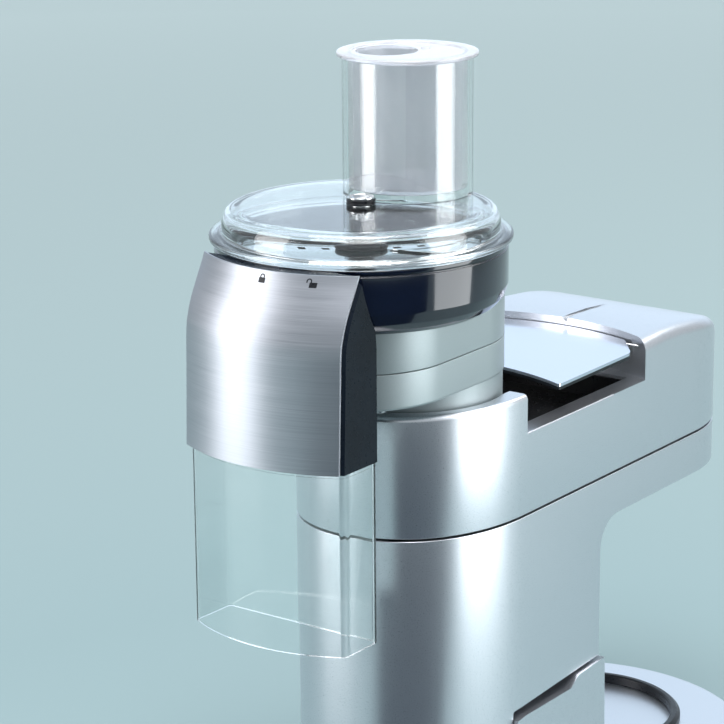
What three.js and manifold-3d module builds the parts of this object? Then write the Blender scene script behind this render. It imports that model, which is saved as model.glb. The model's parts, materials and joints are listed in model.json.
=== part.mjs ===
// A slicing and grating food processor, driven from the high-speed outlet of a tilting-head kitchen machine.
// Millimetres, +Z up. The processor's chute faces -Y and the machine's front faces +Y.
import * as THREE from "three";
import { mergeVertices } from "three/addons/utils/BufferGeometryUtils.js";
import Module from "manifold-3d";

const wasm = await Module();
wasm.setup();

// ---- Driving dimensions ----
const GAP = 0.3; // clearance between neighbouring pieces

// The processor. Heights written rim(dz) are measured from the underside of the lid's flange.
const BOWL_AXIS = [0, -130];
const OUTLET_AXIS = [0, -80]; // the feed tube, the pinion and the motor share this axis
const RIM_Z = 448;
const rim = (dz) => RIM_Z + dz;
const LID_FLANGE_R = 93;
const TUBE_R = 40.7;
const TUBE_WALL = 3;
const TUBE_TOP = rim(104.4);
const BOWL_R = 90;
const BOWL_FLOOR = rim(-42);
const CHUTE_HALF_WIDTH = 59;
const CHUTE_BACK_Y = -197;
const CHUTE_BOTTOM = rim(-116.3);
const GUARD_HALF_WIDTH = 57.5;
const GUARD_R = 113.2;
const GUARD_BACK_Y = -194;
const GUARD_BOTTOM = rim(-230.6);
const BASE_R = 60.5;
const BASE_SEAM = rim(-70.9);
const BASE_BOTTOM = rim(-94);
const SPIGOT_R = 59.5;

// The gear pair inside the processor's base: its centre distance is the distance between the two axes.
const DISC_TEETH = 48;
const PINION_TEETH = 12;
const GEAR_MODULE = (2 * (OUTLET_AXIS[1] - BOWL_AXIS[1])) / (DISC_TEETH + PINION_TEETH);

// The machine.
const HEAD_HALF_WIDTH = 74.5;
const HEAD_REAR_CENTRE = -57;
const HEAD_REAR_DEPTH = 96;
const HEAD_FRONT_CENTRE = 160;
const HEAD_FRONT_DEPTH = 80;
const HEAD_WALL = 3.2;
const HEAD_TOP = 342;
const HEAD_SEAM = 262.5;
const LEDGE_Z = 316.8;
const COLLAR_END_Y = -56.5;
const WELL_R = 61;
const WELL_FLOOR = 300;
const ARM_UNDERSIDE = 233;
const COLUMN_FRONT_Y = 35;
const TILT_AXIS = [-115, 136]; // y and z of the head's pivot pin
const TILT_R = 45.5;
const PLANETARY_Y = 140;
const FLAP_HINGE = [95, 338]; // y and z of the outlet flap's hinge
const FLAP_ARC_R = 157.5;
const FOOT_TOP = 40;
const FOOT_HALF_WIDTH = 120;
const FOOT_FRONT_Y = 247.5;
const FOOT_REAR_Y = -190;

// ---- Solids ----
// A three.js geometry as a manifold-3d solid, turned the right way out.
function solid(geometry) {
  const bare = geometry.index ? geometry.toNonIndexed() : geometry.clone();
  bare.deleteAttribute("normal");
  bare.deleteAttribute("uv");
  const merged = mergeVertices(bare, 1e-4);
  const triVerts = new Uint32Array(merged.index.array);
  const vertProperties = merged.attributes.position.array;
  const made = new wasm.Manifold(new wasm.Mesh({ numProp: 3, vertProperties, triVerts }));
  if (made.volume() > 0) return made;
  for (let i = 0; i < triVerts.length; i += 3) {
    [triVerts[i + 1], triVerts[i + 2]] = [triVerts[i + 2], triVerts[i + 1]];
  }
  return new wasm.Manifold(new wasm.Mesh({ numProp: 3, vertProperties, triVerts }));
}

const join = (first, ...others) => others.reduce((sum, next) => sum.add(next), first);
const cut = (first, ...others) => others.reduce((rest, next) => rest.subtract(next), first);

function box(x0, x1, y0, y1, z0, z1) {
  const geometry = new THREE.BoxGeometry(x1 - x0, y1 - y0, z1 - z0);
  return solid(geometry.translate((x0 + x1) / 2, (y0 + y1) / 2, (z0 + z1) / 2));
}

// An upright cylinder on the axis [x, y].
function upright(radius, z0, z1, [x, y], segments = 24) {
  const geometry = new THREE.CylinderGeometry(radius, radius, z1 - z0, segments);
  return solid(geometry.rotateX(Math.PI / 2).translate(x, y, (z0 + z1) / 2));
}

function ring(outer, inner, z0, z1, axis, segments = 24) {
  return cut(upright(outer, z0, z1, axis, segments), upright(inner, z0 - 1, z1 + 1, axis, segments));
}

// A cylinder along X, centred on [y, z].
function crosswise(radius, x0, x1, [y, z], segments = 24) {
  const geometry = new THREE.CylinderGeometry(radius, radius, x1 - x0, segments);
  return solid(geometry.rotateZ(Math.PI / 2).translate((x0 + x1) / 2, y, z));
}

// A cylinder along Y, centred on [x, z].
function lengthwise(radius, y0, y1, [x, z], segments = 24) {
  const geometry = new THREE.CylinderGeometry(radius, radius, y1 - y0, segments);
  return solid(geometry.translate(x, (y0 + y1) / 2, z));
}

// A profile of [radius, z] points turned about the upright axis [x, y]. Both ends are on the axis.
function turned(profile, [x, y], segments = 40) {
  const points = profile.map(([r, z]) => new THREE.Vector2(r, z));
  return solid(new THREE.LatheGeometry(points, segments).rotateX(Math.PI / 2).translate(x, y, 0));
}

function shapeOf(points) {
  return new THREE.Shape(points.map(([u, v]) => new THREE.Vector2(u, v)));
}

// A plan outline of [x, y] points raised from z0 to z1.
function raised(points, z0, z1) {
  const geometry = new THREE.ExtrudeGeometry(shapeOf(points), { depth: z1 - z0, bevelEnabled: false });
  return solid(geometry.translate(0, 0, z0));
}

// A side outline of [y, z] points run across from x0 to x1.
function across(points, x0, x1) {
  const geometry = new THREE.ExtrudeGeometry(shapeOf(points), { depth: x1 - x0, bevelEnabled: false });
  const turn = new THREE.Matrix4().makeBasis(
    new THREE.Vector3(0, 1, 0),
    new THREE.Vector3(0, 0, 1),
    new THREE.Vector3(1, 0, 0),
  );
  return solid(geometry.applyMatrix4(turn).translate(x0, 0, 0));
}

const radians = THREE.MathUtils.degToRad;

// Points on an arc about [u, v], from one angle to another in degrees.
function arc([u, v], radius, from, to, steps) {
  return Array.from({ length: steps + 1 }, (_, i) => {
    const angle = radians(from + ((to - from) * i) / steps);
    return [u + radius * Math.cos(angle), v + radius * Math.sin(angle)];
  });
}

// ---- The scene graph ----
const group = new THREE.Group();
group.name = "food_processor";

function add(name, shape, colour, roughness, metalness = 0) {
  const made = shape.getMesh();
  const geometry = new THREE.BufferGeometry();
  geometry.setAttribute("position", new THREE.BufferAttribute(made.vertProperties, 3));
  geometry.setIndex(new THREE.BufferAttribute(made.triVerts, 1));
  const material = new THREE.MeshStandardMaterial({ color: colour, roughness, metalness });
  const mesh = new THREE.Mesh(geometry, material);
  mesh.name = name;
  group.add(mesh);
}

const CLEAR = 0xdfeaea;
const NAVY = 0x171c33;
const DARK_PLASTIC = 0x222c3b;
const SATIN_SILVER = 0xb4c0c2;
const BLACK = 0x15171b;
const STEEL = 0xb9bdc2;

// ---- The lid, its bearing and the pusher ----
function lid() {
  const dome = turned(
    [
      [0, rim(0)],
      [LID_FLANGE_R, rim(0)],
      [LID_FLANGE_R, rim(4)],
      [85, rim(4)],
      [85, rim(12)],
      [83.5, rim(17)],
      [80, rim(20)],
      [0, rim(20)],
    ],
    BOWL_AXIS,
  );
  const inside = turned(
    [
      [0, rim(-1)],
      [82, rim(-1)],
      [82, rim(11.5)],
      [80.7, rim(15)],
      [78, rim(17)],
      [0, rim(17)],
    ],
    BOWL_AXIS,
  );
  const bore = TUBE_R - TUBE_WALL;
  const wall = ring(TUBE_R, bore, rim(-5), TUBE_TOP, OUTLET_AXIS, 40);
  const allowed = join(
    upright(82.5, rim(-6), rim(2), BOWL_AXIS, 40),
    box(-50, 50, -170, 0, rim(1.9), rim(110)),
  );
  return cut(
    join(cut(dome, inside), wall.intersect(allowed)),
    upright(bore, rim(4.2), rim(106), OUTLET_AXIS, 40),
    upright(6.6, rim(16), rim(21), BOWL_AXIS),
  );
}

// A clear cup with a wide rim. A plate covers half of its top, and the other half is open for the fingers.
function pusher() {
  const skirt = TUBE_R - TUBE_WALL - 0.7;
  const cup = turned(
    [
      [0, rim(24)],
      [skirt, rim(24)],
      [skirt, rim(104.8)],
      [44, rim(104.8)],
      [44, rim(107.6)],
      [skirt - 2.2, rim(107.6)],
      [skirt - 2.2, rim(26.4)],
      [0, rim(26.4)],
    ],
    OUTLET_AXIS,
  );
  const [x, y] = OUTLET_AXIS;
  const plate = upright(skirt - 1, rim(103.8), rim(105.6), OUTLET_AXIS, 40);
  const half = raised(
    arc(OUTLET_AXIS, 60, -54, 126, 2).concat([[x - 30, y + 42]]),
    rim(100),
    rim(110),
  );
  return join(cup, plate.intersect(half));
}

function lidBearing() {
  return turned(
    [
      [0, rim(18.8)],
      [3.4, rim(18.8)],
      [3.4, rim(12.8)],
      [9, rim(12.8)],
      [9, rim(16.6)],
      [6.2, rim(16.6)],
      [6.2, rim(20.3)],
      [9, rim(20.3)],
      [9, rim(23.4)],
      [0, rim(23.4)],
    ],
    BOWL_AXIS,
    24,
  );
}

add("lid", lid(), CLEAR, 0.05);
add("pusher", pusher(), CLEAR, 0.05);
add("lid_bearing", lidBearing(), BLACK, 0.3, 0.6);
add("bearing_cap", upright(8.2, rim(23.7), rim(25), BOWL_AXIS), 0xd8dcdf, 0.1, 1);

// ---- The cutting disc and its drive ----
const BLADE = { x0: 22, x1: 74, y: -132, width: 6 };

function cuttingDisc() {
  const plate = ring(83.5, 5.6, rim(-10.2), rim(-8.6), BOWL_AXIS, 40);
  return cut(plate, box(BLADE.x0, BLADE.x1, BLADE.y - 1, BLADE.y + BLADE.width, rim(-11), rim(-8)));
}

// The blade bridges the slot, and stands a slice's thickness above the plate.
function discBlade() {
  const edge = box(BLADE.x0 + 2, BLADE.x1 - 2, BLADE.y, BLADE.y + BLADE.width - 2, rim(-7.2), rim(-6.4));
  const feet = [BLADE.x0 + 2, BLADE.x1 - 6].map((x) =>
    box(x, x + 4, BLADE.y, BLADE.y + BLADE.width - 2, rim(-10.4), rim(-6.8)),
  );
  return join(edge, ...feet);
}

function discHub() {
  const hub = join(upright(16, rim(-8.3), rim(-5.6), BOWL_AXIS), upright(8, rim(-6), rim(9), BOWL_AXIS));
  return cut(hub, upright(5.3, rim(-9), rim(10), BOWL_AXIS));
}

function driveSpindle() {
  return turned(
    [
      [0, rim(-90.8)],
      [5, rim(-90.8)],
      [5, rim(12)],
      [3, rim(12)],
      [3, rim(18.2)],
      [0, rim(18.2)],
    ],
    BOWL_AXIS,
    20,
  );
}

// A spur gear outline. Straight flanks stand in for involutes, thinned enough to run without touching.
function gearOutline(teeth, turn, [x, y]) {
  const pitchR = (GEAR_MODULE * teeth) / 2;
  const tipR = pitchR + 0.85 * GEAR_MODULE;
  const rootR = pitchR - 1.15 * GEAR_MODULE;
  const pitch = 360 / teeth;
  const points = [];
  for (let tooth = 0; tooth < teeth; tooth += 1) {
    const middle = turn + tooth * pitch;
    for (const [radius, offset] of [
      [rootR, -0.31],
      [tipR, -0.1],
      [tipR, 0.1],
      [rootR, 0.31],
    ]) {
      const angle = radians(middle + offset * pitch);
      points.push([x + radius * Math.cos(angle), y + radius * Math.sin(angle)]);
    }
  }
  return points;
}

// The disc gear has a tooth on the line of centres, and the pinion a space.
function discGear() {
  const teeth = raised(gearOutline(DISC_TEETH, 90, BOWL_AXIS), rim(-86), rim(-77));
  const hub = upright(12, rim(-87), rim(-73), BOWL_AXIS);
  const holes = [30, 150, 270].map((angle) => {
    const [place] = arc(BOWL_AXIS, 25, angle, angle, 1);
    return upright(8, rim(-90), rim(-70), place, 12);
  });
  return cut(join(teeth, hub), upright(5.3, rim(-90), rim(-70), BOWL_AXIS), ...holes);
}

function pinionGear() {
  const turn = -90 + 180 / PINION_TEETH;
  const teeth = raised(gearOutline(PINION_TEETH, turn, OUTLET_AXIS), rim(-87), rim(-76));
  return cut(teeth, upright(4.3, rim(-90), rim(-70), OUTLET_AXIS, 16));
}

// Both couplers hold a bar in a slot, so the processor lifts straight off the machine.
function driveCoupler() {
  const hub = upright(13, rim(-138), rim(-122), OUTLET_AXIS);
  const [x, y] = OUTLET_AXIS;
  const slot = box(x - 11, x + 11, y - 4.5, y + 4.5, rim(-139), rim(-131));
  return cut(hub, slot, upright(4.3, rim(-131.5), rim(-121), OUTLET_AXIS, 16));
}

add("cutting_disc", cuttingDisc(), 0xd9dddd, 0.25, 1);
add("disc_blade", discBlade(), 0xe4e7e8, 0.15, 1);
add("disc_hub", discHub(), BLACK, 0.4);
add("drive_spindle", driveSpindle(), STEEL, 0.25, 1);
add("disc_gear", discGear(), 0xe8e6dc, 0.5);
add("pinion_gear", pinionGear(), 0x8e9296, 0.35, 1);
add("pinion_shaft", upright(4, rim(-131), rim(-47), OUTLET_AXIS, 16), STEEL, 0.25, 1);
add("drive_coupler", driveCoupler(), BLACK, 0.5);

// ---- The bowl, the chute, its cover and the outlet guard ----
const BOWL_PROFILE = [
  [75, rim(-42)],
  [80, rim(-41)],
  [84.5, rim(-38)],
  [88, rim(-33.5)],
  [90, rim(-27)],
];

function bowl() {
  const outside = turned([[0, BOWL_FLOOR], ...BOWL_PROFILE, [BOWL_R, rim(-GAP)], [0, rim(-GAP)]], BOWL_AXIS);
  const inside = turned(
    [
      [0, rim(-38.5)],
      [74, rim(-38.5)],
      [80, rim(-36.5)],
      [84, rim(-32)],
      [86, rim(-26)],
      [86, rim(1)],
      [0, rim(1)],
    ],
    BOWL_AXIS,
  );
  const shell = cut(outside, inside, box(-42, 42, -240, -196, rim(-34), rim(-11)));
  const chimney = upright(9, rim(-40), rim(-15.5), BOWL_AXIS);
  return cut(join(shell, chimney), upright(6, rim(-43), rim(-14), BOWL_AXIS));
}

// The cover's front face at one height, as a radius about the bowl's axis.
const COVER_PROFILE = [
  [99.5, rim(-1)],
  [101.5, rim(-6)],
  [104.5, rim(-12.5)],
  [108, rim(-20)],
  [111, rim(-27)],
  [113.5, rim(-35)],
  [115.2, rim(-45)],
  [116, rim(-70)],
  [117.5, CHUTE_BOTTOM],
];

// A solid bounded in front by the cover's profile, drawn in by an inset.
function behindCover(inset, top, bottom, segments = 72) {
  const inner = COVER_PROFILE.map(([r, z]) => [r - inset, z]);
  inner[0][1] = top;
  inner[inner.length - 1][1] = bottom;
  return turned([[0, top], ...inner, [0, bottom]], BOWL_AXIS, segments);
}

function steelCover() {
  const sheet = cut(
    behindCover(0, rim(-1), CHUTE_BOTTOM),
    behindCover(1.2, rim(0), CHUTE_BOTTOM - 1),
  );
  return sheet.intersect(box(-57, 57, -260, -180, rim(-130), rim(0)));
}

// The chute's back edge leans forward under the bowl's rim, drawn in by a wall where there is one.
function chuteSide(wall, top, bottom) {
  return [
    [-260, bottom],
    [CHUTE_BACK_Y - wall, bottom],
    [CHUTE_BACK_Y - wall, rim(-46)],
    [CHUTE_BACK_Y - 1 - wall, rim(-36)],
    [CHUTE_BACK_Y - 6 - wall, rim(-27)],
    [CHUTE_BACK_Y - 11 - wall, rim(-15)],
    [CHUTE_BACK_Y - 15.5 - wall, top],
    [-260, top],
  ];
}

function chuteHousing() {
  const top = rim(-1);
  const half = CHUTE_HALF_WIDTH;
  const outside = behindCover(1.6, top, CHUTE_BOTTOM).intersect(
    across(chuteSide(0, top, CHUTE_BOTTOM), -half, half),
  );
  const inside = behindCover(4, rim(-4), CHUTE_BOTTOM - 1).intersect(
    across(chuteSide(2.4, rim(-4), CHUTE_BOTTOM - 1), 2.4 - half, half - 2.4),
  );
  const bowlSpace = turned(
    [
      [0, BOWL_FLOOR - GAP],
      ...BOWL_PROFILE.map(([r, z]) => [r + GAP, z - GAP]),
      [BOWL_R + GAP, rim(1)],
      [0, rim(1)],
    ],
    BOWL_AXIS,
  );
  return cut(outside, inside, bowlSpace);
}

// A plan outline with an arc in front and a straight back: the clear outlet guard at one inset.
function guardOutline(inset, backY) {
  const half = GUARD_HALF_WIDTH - inset;
  const radius = GUARD_R - inset;
  const edge = THREE.MathUtils.radToDeg(Math.asin(half / radius));
  return [[-half, backY], ...arc(BOWL_AXIS, radius, -90 - edge, -90 + edge, 16), [half, backY]];
}

// The guard hangs below the chute. A lip on its front and sides reaches up inside.
function outletGuard() {
  const wall = 2.4;
  const top = CHUTE_BOTTOM - GAP;
  const tube = cut(
    raised(guardOutline(0, GUARD_BACK_Y), GUARD_BOTTOM, top),
    raised(guardOutline(wall, GUARD_BACK_Y - wall), GUARD_BOTTOM - 1, top + 1),
  );
  const lip = cut(
    raised(guardOutline(1.3, CHUTE_BACK_Y - 4), top - 3, top + 12),
    raised(guardOutline(wall + 0.6, CHUTE_BACK_Y), top - 4, top + 13),
  );
  return join(tube, lip);
}

add("bowl", bowl(), NAVY, 0.08);
add("spindle_seal", ring(8.7, 5.5, rim(-15.2), rim(-12.6), BOWL_AXIS), BLACK, 0.8);
add("chute_housing", chuteHousing(), DARK_PLASTIC, 0.35);
add("steel_cover", steelCover(), 0xa9aeb8, 0.3, 1);
add("outlet_guard", outletGuard(), CLEAR, 0.05);

// ---- The gear housing under the bowl ----
const REAR_END = [0, -133];

// Two half circles joined by straight sides.
function baseOutline(inset, steps = 14) {
  const radius = BASE_R - inset;
  return [...arc(REAR_END, radius, 180, 360, steps), ...arc(OUTLET_AXIS, radius, 0, 180, steps)];
}

const CASE_SCREWS = [
  [-38, -165],
  [38, -165],
  [0, -33],
];

function baseUpperCase() {
  const top = BOWL_FLOOR - GAP;
  const shell = cut(
    raised(baseOutline(0), BASE_SEAM + 0.2, top),
    raised(baseOutline(2.5), BASE_SEAM - 1, top - 2.5),
  );
  const bosses = [BOWL_AXIS, OUTLET_AXIS].map((axis) => upright(9, rim(-62), top - 2, axis));
  const posts = CASE_SCREWS.map((place) => upright(4.5, BASE_SEAM + 1, top - 2, place, 12));
  return cut(
    join(shell, ...bosses, ...posts),
    upright(5.3, rim(-63), rim(-40), BOWL_AXIS),
    upright(4.3, rim(-63), rim(-46.7), OUTLET_AXIS, 16),
    ...CASE_SCREWS.map((place) => upright(2.3, BASE_SEAM, rim(-56), place, 12)),
  );
}

function baseLowerCase() {
  const floor = BASE_BOTTOM + 2.5;
  const shell = cut(
    raised(baseOutline(0), BASE_BOTTOM, BASE_SEAM - 0.2),
    raised(baseOutline(2.5), floor, BASE_SEAM + 1),
  );
  const spigot = join(
    ring(SPIGOT_R, SPIGOT_R - 3, rim(-112), BASE_BOTTOM + 1, OUTLET_AXIS, 40),
    ring(57, 53.5, WELL_FLOOR + GAP, rim(-109), OUTLET_AXIS, 40),
  );
  const bearing = ring(10, 5.5, floor - 1, rim(-87.6), BOWL_AXIS);
  const posts = CASE_SCREWS.map((place) => upright(4.5, floor - 1, BASE_SEAM - 0.2, place, 12));
  return cut(
    join(shell, spigot, bearing, ...posts),
    upright(4.5, rim(-96), rim(-90), OUTLET_AXIS, 16),
    ...CASE_SCREWS.map((place) => upright(2.3, rim(-96), BASE_SEAM + 1, place, 12)),
  );
}

function caseScrew(place) {
  return join(
    upright(3.8, BASE_BOTTOM - 2.8, BASE_BOTTOM - GAP, place, 12),
    upright(2, BASE_BOTTOM - 1, rim(-57), place, 12),
  );
}

add("base_upper_case", baseUpperCase(), SATIN_SILVER, 0.4, 0.4);
add("base_lower_case", baseLowerCase(), SATIN_SILVER, 0.4, 0.4);
CASE_SCREWS.forEach((place, i) => add(`case_screw_${i + 1}`, caseScrew(place), STEEL, 0.3, 1));

// ---- The machine's tilting head ----
// A quarter-by-quarter plan outline: straight sides, a full rear end and a rounded nose.
function headOutline(inset, flare = 0, steps = 14) {
  const end = (centreY, depth, from) =>
    Array.from({ length: steps + 1 }, (_, i) => {
      const angle = radians(from + (180 * i) / steps);
      const c = Math.cos(angle);
      const s = Math.sin(angle);
      const full = (value) => Math.sign(value) * Math.abs(value) ** (2 / 2.2);
      return [
        (HEAD_HALF_WIDTH + flare - inset) * full(c),
        centreY + (depth + flare - inset) * full(s),
      ];
    });
  return [...end(HEAD_REAR_CENTRE, HEAD_REAR_DEPTH, 180), ...end(HEAD_FRONT_CENTRE, HEAD_FRONT_DEPTH, 0)];
}

const HEAD_NOSE_Y = HEAD_FRONT_CENTRE + HEAD_FRONT_DEPTH;

// The side outline of the head's crown, in front of the flap.
function crownSide(drop) {
  return [
    [50, HEAD_SEAM - 2],
    [50, 342 - drop],
    [100, 345 - drop],
    [135, 345.5 - drop],
    [188, 339 - drop],
    [222, 325 - drop],
    [HEAD_NOSE_Y - drop, 300 - drop],
    [HEAD_NOSE_Y - drop, HEAD_SEAM - 2],
  ];
}

const FLAP_ARC_CENTRE = [0, 107 - FLAP_ARC_R];
const SLOW_OUTLET = [0, 285]; // x and z of the low-speed outlet in the nose

function headCover() {
  const bottom = HEAD_SEAM + 0.5;
  const plan = raised(headOutline(0), bottom, 350);
  const sides = plan.intersect(box(-80, 80, -160, 250, bottom, LEDGE_Z));
  const collar = plan.intersect(box(-80, 80, -160, COLLAR_END_Y, bottom, HEAD_TOP));
  const crown = cut(
    plan.intersect(across(crownSide(0), -80, 80)),
    upright(FLAP_ARC_R + 1.5, LEDGE_Z, 350, FLAP_ARC_CENTRE, 64),
  );
  const inner = raised(headOutline(HEAD_WALL), bottom - 1, 350);
  const underLedge = inner.intersect(box(-80, 80, -160, 250, bottom - 1, LEDGE_Z - HEAD_WALL));
  const underCollar = inner.intersect(box(-80, 80, -160, COLLAR_END_Y - 3, bottom - 1, HEAD_TOP - HEAD_WALL));
  const underCrown = cut(
    inner.intersect(across(crownSide(HEAD_WALL), -80, 80)),
    upright(FLAP_ARC_R + 5, LEDGE_Z - 10, 350, FLAP_ARC_CENTRE, 64),
  );
  const liner = join(
    upright(WELL_R + 3, bottom - 2, 350, OUTLET_AXIS, 40),
    box(-WELL_R - 3, WELL_R + 3, OUTLET_AXIS[1], 92, bottom - 2, 350),
  );
  const well = join(
    upright(WELL_R, bottom - 2, 350, OUTLET_AXIS, 40),
    box(-WELL_R, WELL_R, OUTLET_AXIS[1], 89, bottom - 2, 350),
  );
  return cut(
    join(sides, collar, crown),
    cut(join(underLedge, underCollar), liner.intersect(box(-80, 80, -160, 95, WELL_FLOOR - 5, 350))),
    underCrown,
    well.intersect(box(-80, 80, -160, 95, bottom - 2, 350)),
    lengthwise(20, 225, 250, SLOW_OUTLET),
    crosswise(1.3, -71, 71, FLAP_HINGE, 12),
  );
}

// The side outline of the head below its seam. It turns in the pedestal's round seat at the rear.
function lowerSide(inset) {
  const rearAngle = -147;
  const frontAngle = -5;
  const [y] = TILT_AXIS;
  const r = TILT_R - inset;
  return [
    [-160, HEAD_SEAM],
    [-160, TILT_AXIS[1] - 22],
    ...arc(TILT_AXIS, r, rearAngle, frontAngle, 14),
    [y + r + 2, TILT_AXIS[1] - 3.5 + inset],
    [COLUMN_FRONT_Y - inset, 138 + inset],
    ...arc([COLUMN_FRONT_Y + 22, ARM_UNDERSIDE - 22], 22 + inset, 180, 90, 4),
    [250, ARM_UNDERSIDE + inset],
    [250, HEAD_SEAM],
  ];
}

function headLowerCase() {
  const top = HEAD_SEAM - 0.5;
  const outside = raised(headOutline(0), 80, top).intersect(across(lowerSide(0), -80, 80));
  const inside = raised(headOutline(HEAD_WALL), 80, top + 1).intersect(across(lowerSide(HEAD_WALL), -80, 80));
  const [y, z] = TILT_AXIS;
  const earSlot = across([[y, z], ...arc(TILT_AXIS, 60, -144, -77, 6)], -14.5, 14.5);
  const bosses = [-1, 1].map((side) => {
    const [x0, x1] = side > 0 ? [15, 32] : [-32, -15];
    return join(crosswise(10, x0, x1, TILT_AXIS), box(x0, x1, y - 8, y + 8, z - 43.5, z));
  });
  return cut(
    join(cut(outside, inside, earSlot), ...bosses),
    crosswise(4.4, -40, 40, TILT_AXIS, 16),
    upright(30, ARM_UNDERSIDE - 5, ARM_UNDERSIDE + 8, [0, PLANETARY_Y]),
  );
}

// The black tray inside the outlet's cut-out.
function outletWell() {
  const plan = (inset, z0, z1) =>
    join(
      upright(WELL_R - GAP - inset, z0, z1, OUTLET_AXIS, 40),
      box(inset + GAP - WELL_R, WELL_R - GAP - inset, OUTLET_AXIS[1], 88.5 - inset, z0, z1),
    );
  const tray = cut(plan(0, WELL_FLOOR - 2.5, 335), plan(1.8, WELL_FLOOR, 336));
  const aboveLedge = box(-80, 80, COLLAR_END_Y - 4, 100, LEDGE_Z - 2, 340);
  return cut(tray, aboveLedge, upright(15, 290, 310, OUTLET_AXIS));
}

// A flat plate with a hollow rear edge and a round front edge. Its front corners are cut back, so that it
// turns up on its pin without meeting the crown.
function outletFlap() {
  const rearArc = arc([0, -180.5], 177, 65, 115, 12);
  const frontArc = arc(FLAP_ARC_CENTRE, FLAP_ARC_R, 110, 70, 10);
  const outline = [...rearArc, [-73.5, 72], ...frontArc, [73.5, 72]];
  const plate = raised(outline, FLAP_HINGE[1] - 2, FLAP_HINGE[1] + 2);
  return cut(plate, crosswise(1.3, -60, 60, FLAP_HINGE, 12));
}

add("head_cover", headCover(), SATIN_SILVER, 0.35, 0.6);
add("head_lower_case", headLowerCase(), SATIN_SILVER, 0.35, 0.6);
add("outlet_well", outletWell(), BLACK, 0.3);
add("outlet_flap", outletFlap(), 0xdfe6f0, 0.12, 0.9);
add("flap_hinge_pin", crosswise(1, -70.7, 70.7, FLAP_HINGE, 12), STEEL, 0.25, 1);

// ---- The motor, the belt and the front outlets ----
const PLANETARY_AXIS = [0, PLANETARY_Y];
const MOTOR_PULLEY_R = 14;
const GEARBOX_PULLEY_R = 38;
const PULLEY_Z = [240, 250];
const TOOL_AXIS = [0, PLANETARY_Y + 16];

function driveDog() {
  const [x, y] = OUTLET_AXIS;
  const base = join(upright(11, 303, 309, OUTLET_AXIS), box(x - 9.5, x + 9.5, y - 3.2, y + 3.2, 308, 316));
  return cut(base, upright(4.3, 302, 305.3, OUTLET_AXIS, 16));
}

function motorBracket() {
  const plate = join(upright(52, 229, 232.5, OUTLET_AXIS, 32), box(-66, 66, -84, -64, 229, 232.5));
  return cut(plate, upright(5, 228, 234, OUTLET_AXIS));
}

function motorFan() {
  const hub = upright(8, 154, 164, OUTLET_AXIS);
  const [x, y] = OUTLET_AXIS;
  const blades = [0, 45, 90, 135].map((angle) => {
    const blade = new THREE.BoxGeometry(66, 1.6, 8).rotateZ(radians(angle)).translate(x, y, 160);
    return solid(blade);
  });
  return cut(join(hub, ...blades), upright(4.3, 150, 170, OUTLET_AXIS, 16));
}

// A belt round both pulleys, clear of them by a gap: two arcs joined by tangents.
function beltOutline(gap) {
  const near = MOTOR_PULLEY_R + gap;
  const far = GEARBOX_PULLEY_R + gap;
  const slope = THREE.MathUtils.radToDeg(Math.asin((far - near) / (PLANETARY_Y - OUTLET_AXIS[1])));
  return [
    ...arc(OUTLET_AXIS, near, 180 + slope, 360 - slope, 12),
    ...arc(PLANETARY_AXIS, far, -slope, 180 + slope, 18),
  ];
}

function driveBelt() {
  const [z0, z1] = PULLEY_Z;
  return cut(raised(beltOutline(2.8), z0 + 1, z1 - 1), raised(beltOutline(0.5), z0, z1));
}

function gearboxPulley() {
  const [z0, z1] = PULLEY_Z;
  const wheel = join(
    upright(GEARBOX_PULLEY_R, z0, z1, PLANETARY_AXIS, 36),
    upright(10, z1 - 1, 264, PLANETARY_AXIS),
  );
  return cut(wheel, upright(5.5, z0 - 1, 265, PLANETARY_AXIS));
}

function gearboxCase() {
  const [x, y] = PLANETARY_AXIS;
  const casing = join(upright(36, 256, 300, PLANETARY_AXIS, 36), box(x - 16, x + 16, y, 192, 268, 300));
  return cut(
    casing,
    upright(10.6, 255, 265, PLANETARY_AXIS),
    upright(5.5, 255, 291, PLANETARY_AXIS),
    lengthwise(5.5, 176, 195, SLOW_OUTLET),
  );
}

function planetCarrier() {
  const carrier = join(
    upright(28, 207, 231, PLANETARY_AXIS, 36),
    upright(5, 230, 290.5, PLANETARY_AXIS),
  );
  return cut(carrier, upright(4.5, 206, 225, TOOL_AXIS, 16));
}

function toolSocket() {
  const [x, y] = TOOL_AXIS;
  const socket = join(upright(8, 186, 206.7, TOOL_AXIS), upright(4.1, 205, 224, TOOL_AXIS, 16));
  const slot = box(x - 1.8, x + 1.8, y - 12, y + 12, 185, 196);
  return cut(socket, upright(5, 185, 201, TOOL_AXIS, 16), slot);
}

function slowOutletDrive() {
  const drive = join(lengthwise(9, 200, 236, SLOW_OUTLET), lengthwise(5, 178, 201, SLOW_OUTLET));
  return cut(drive, lengthwise(5.5, 222, 237, SLOW_OUTLET, 6));
}

// A round lid over the low-speed outlet, hung from its top edge.
const SLOW_COVER_HINGE = [244, 311]; // y and z
function slowOutletCover() {
  const [y, z] = SLOW_COVER_HINGE;
  const cover = join(
    lengthwise(23, HEAD_NOSE_Y + 1, HEAD_NOSE_Y + 4.5, SLOW_OUTLET, 32),
    box(-8, 8, HEAD_NOSE_Y + 1, HEAD_NOSE_Y + 4.5, z - 6, z),
    crosswise(2.5, -8, 8, [y, z], 12),
  );
  return cut(cover, crosswise(1.3, -9, 9, [y, z], 12));
}

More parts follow.
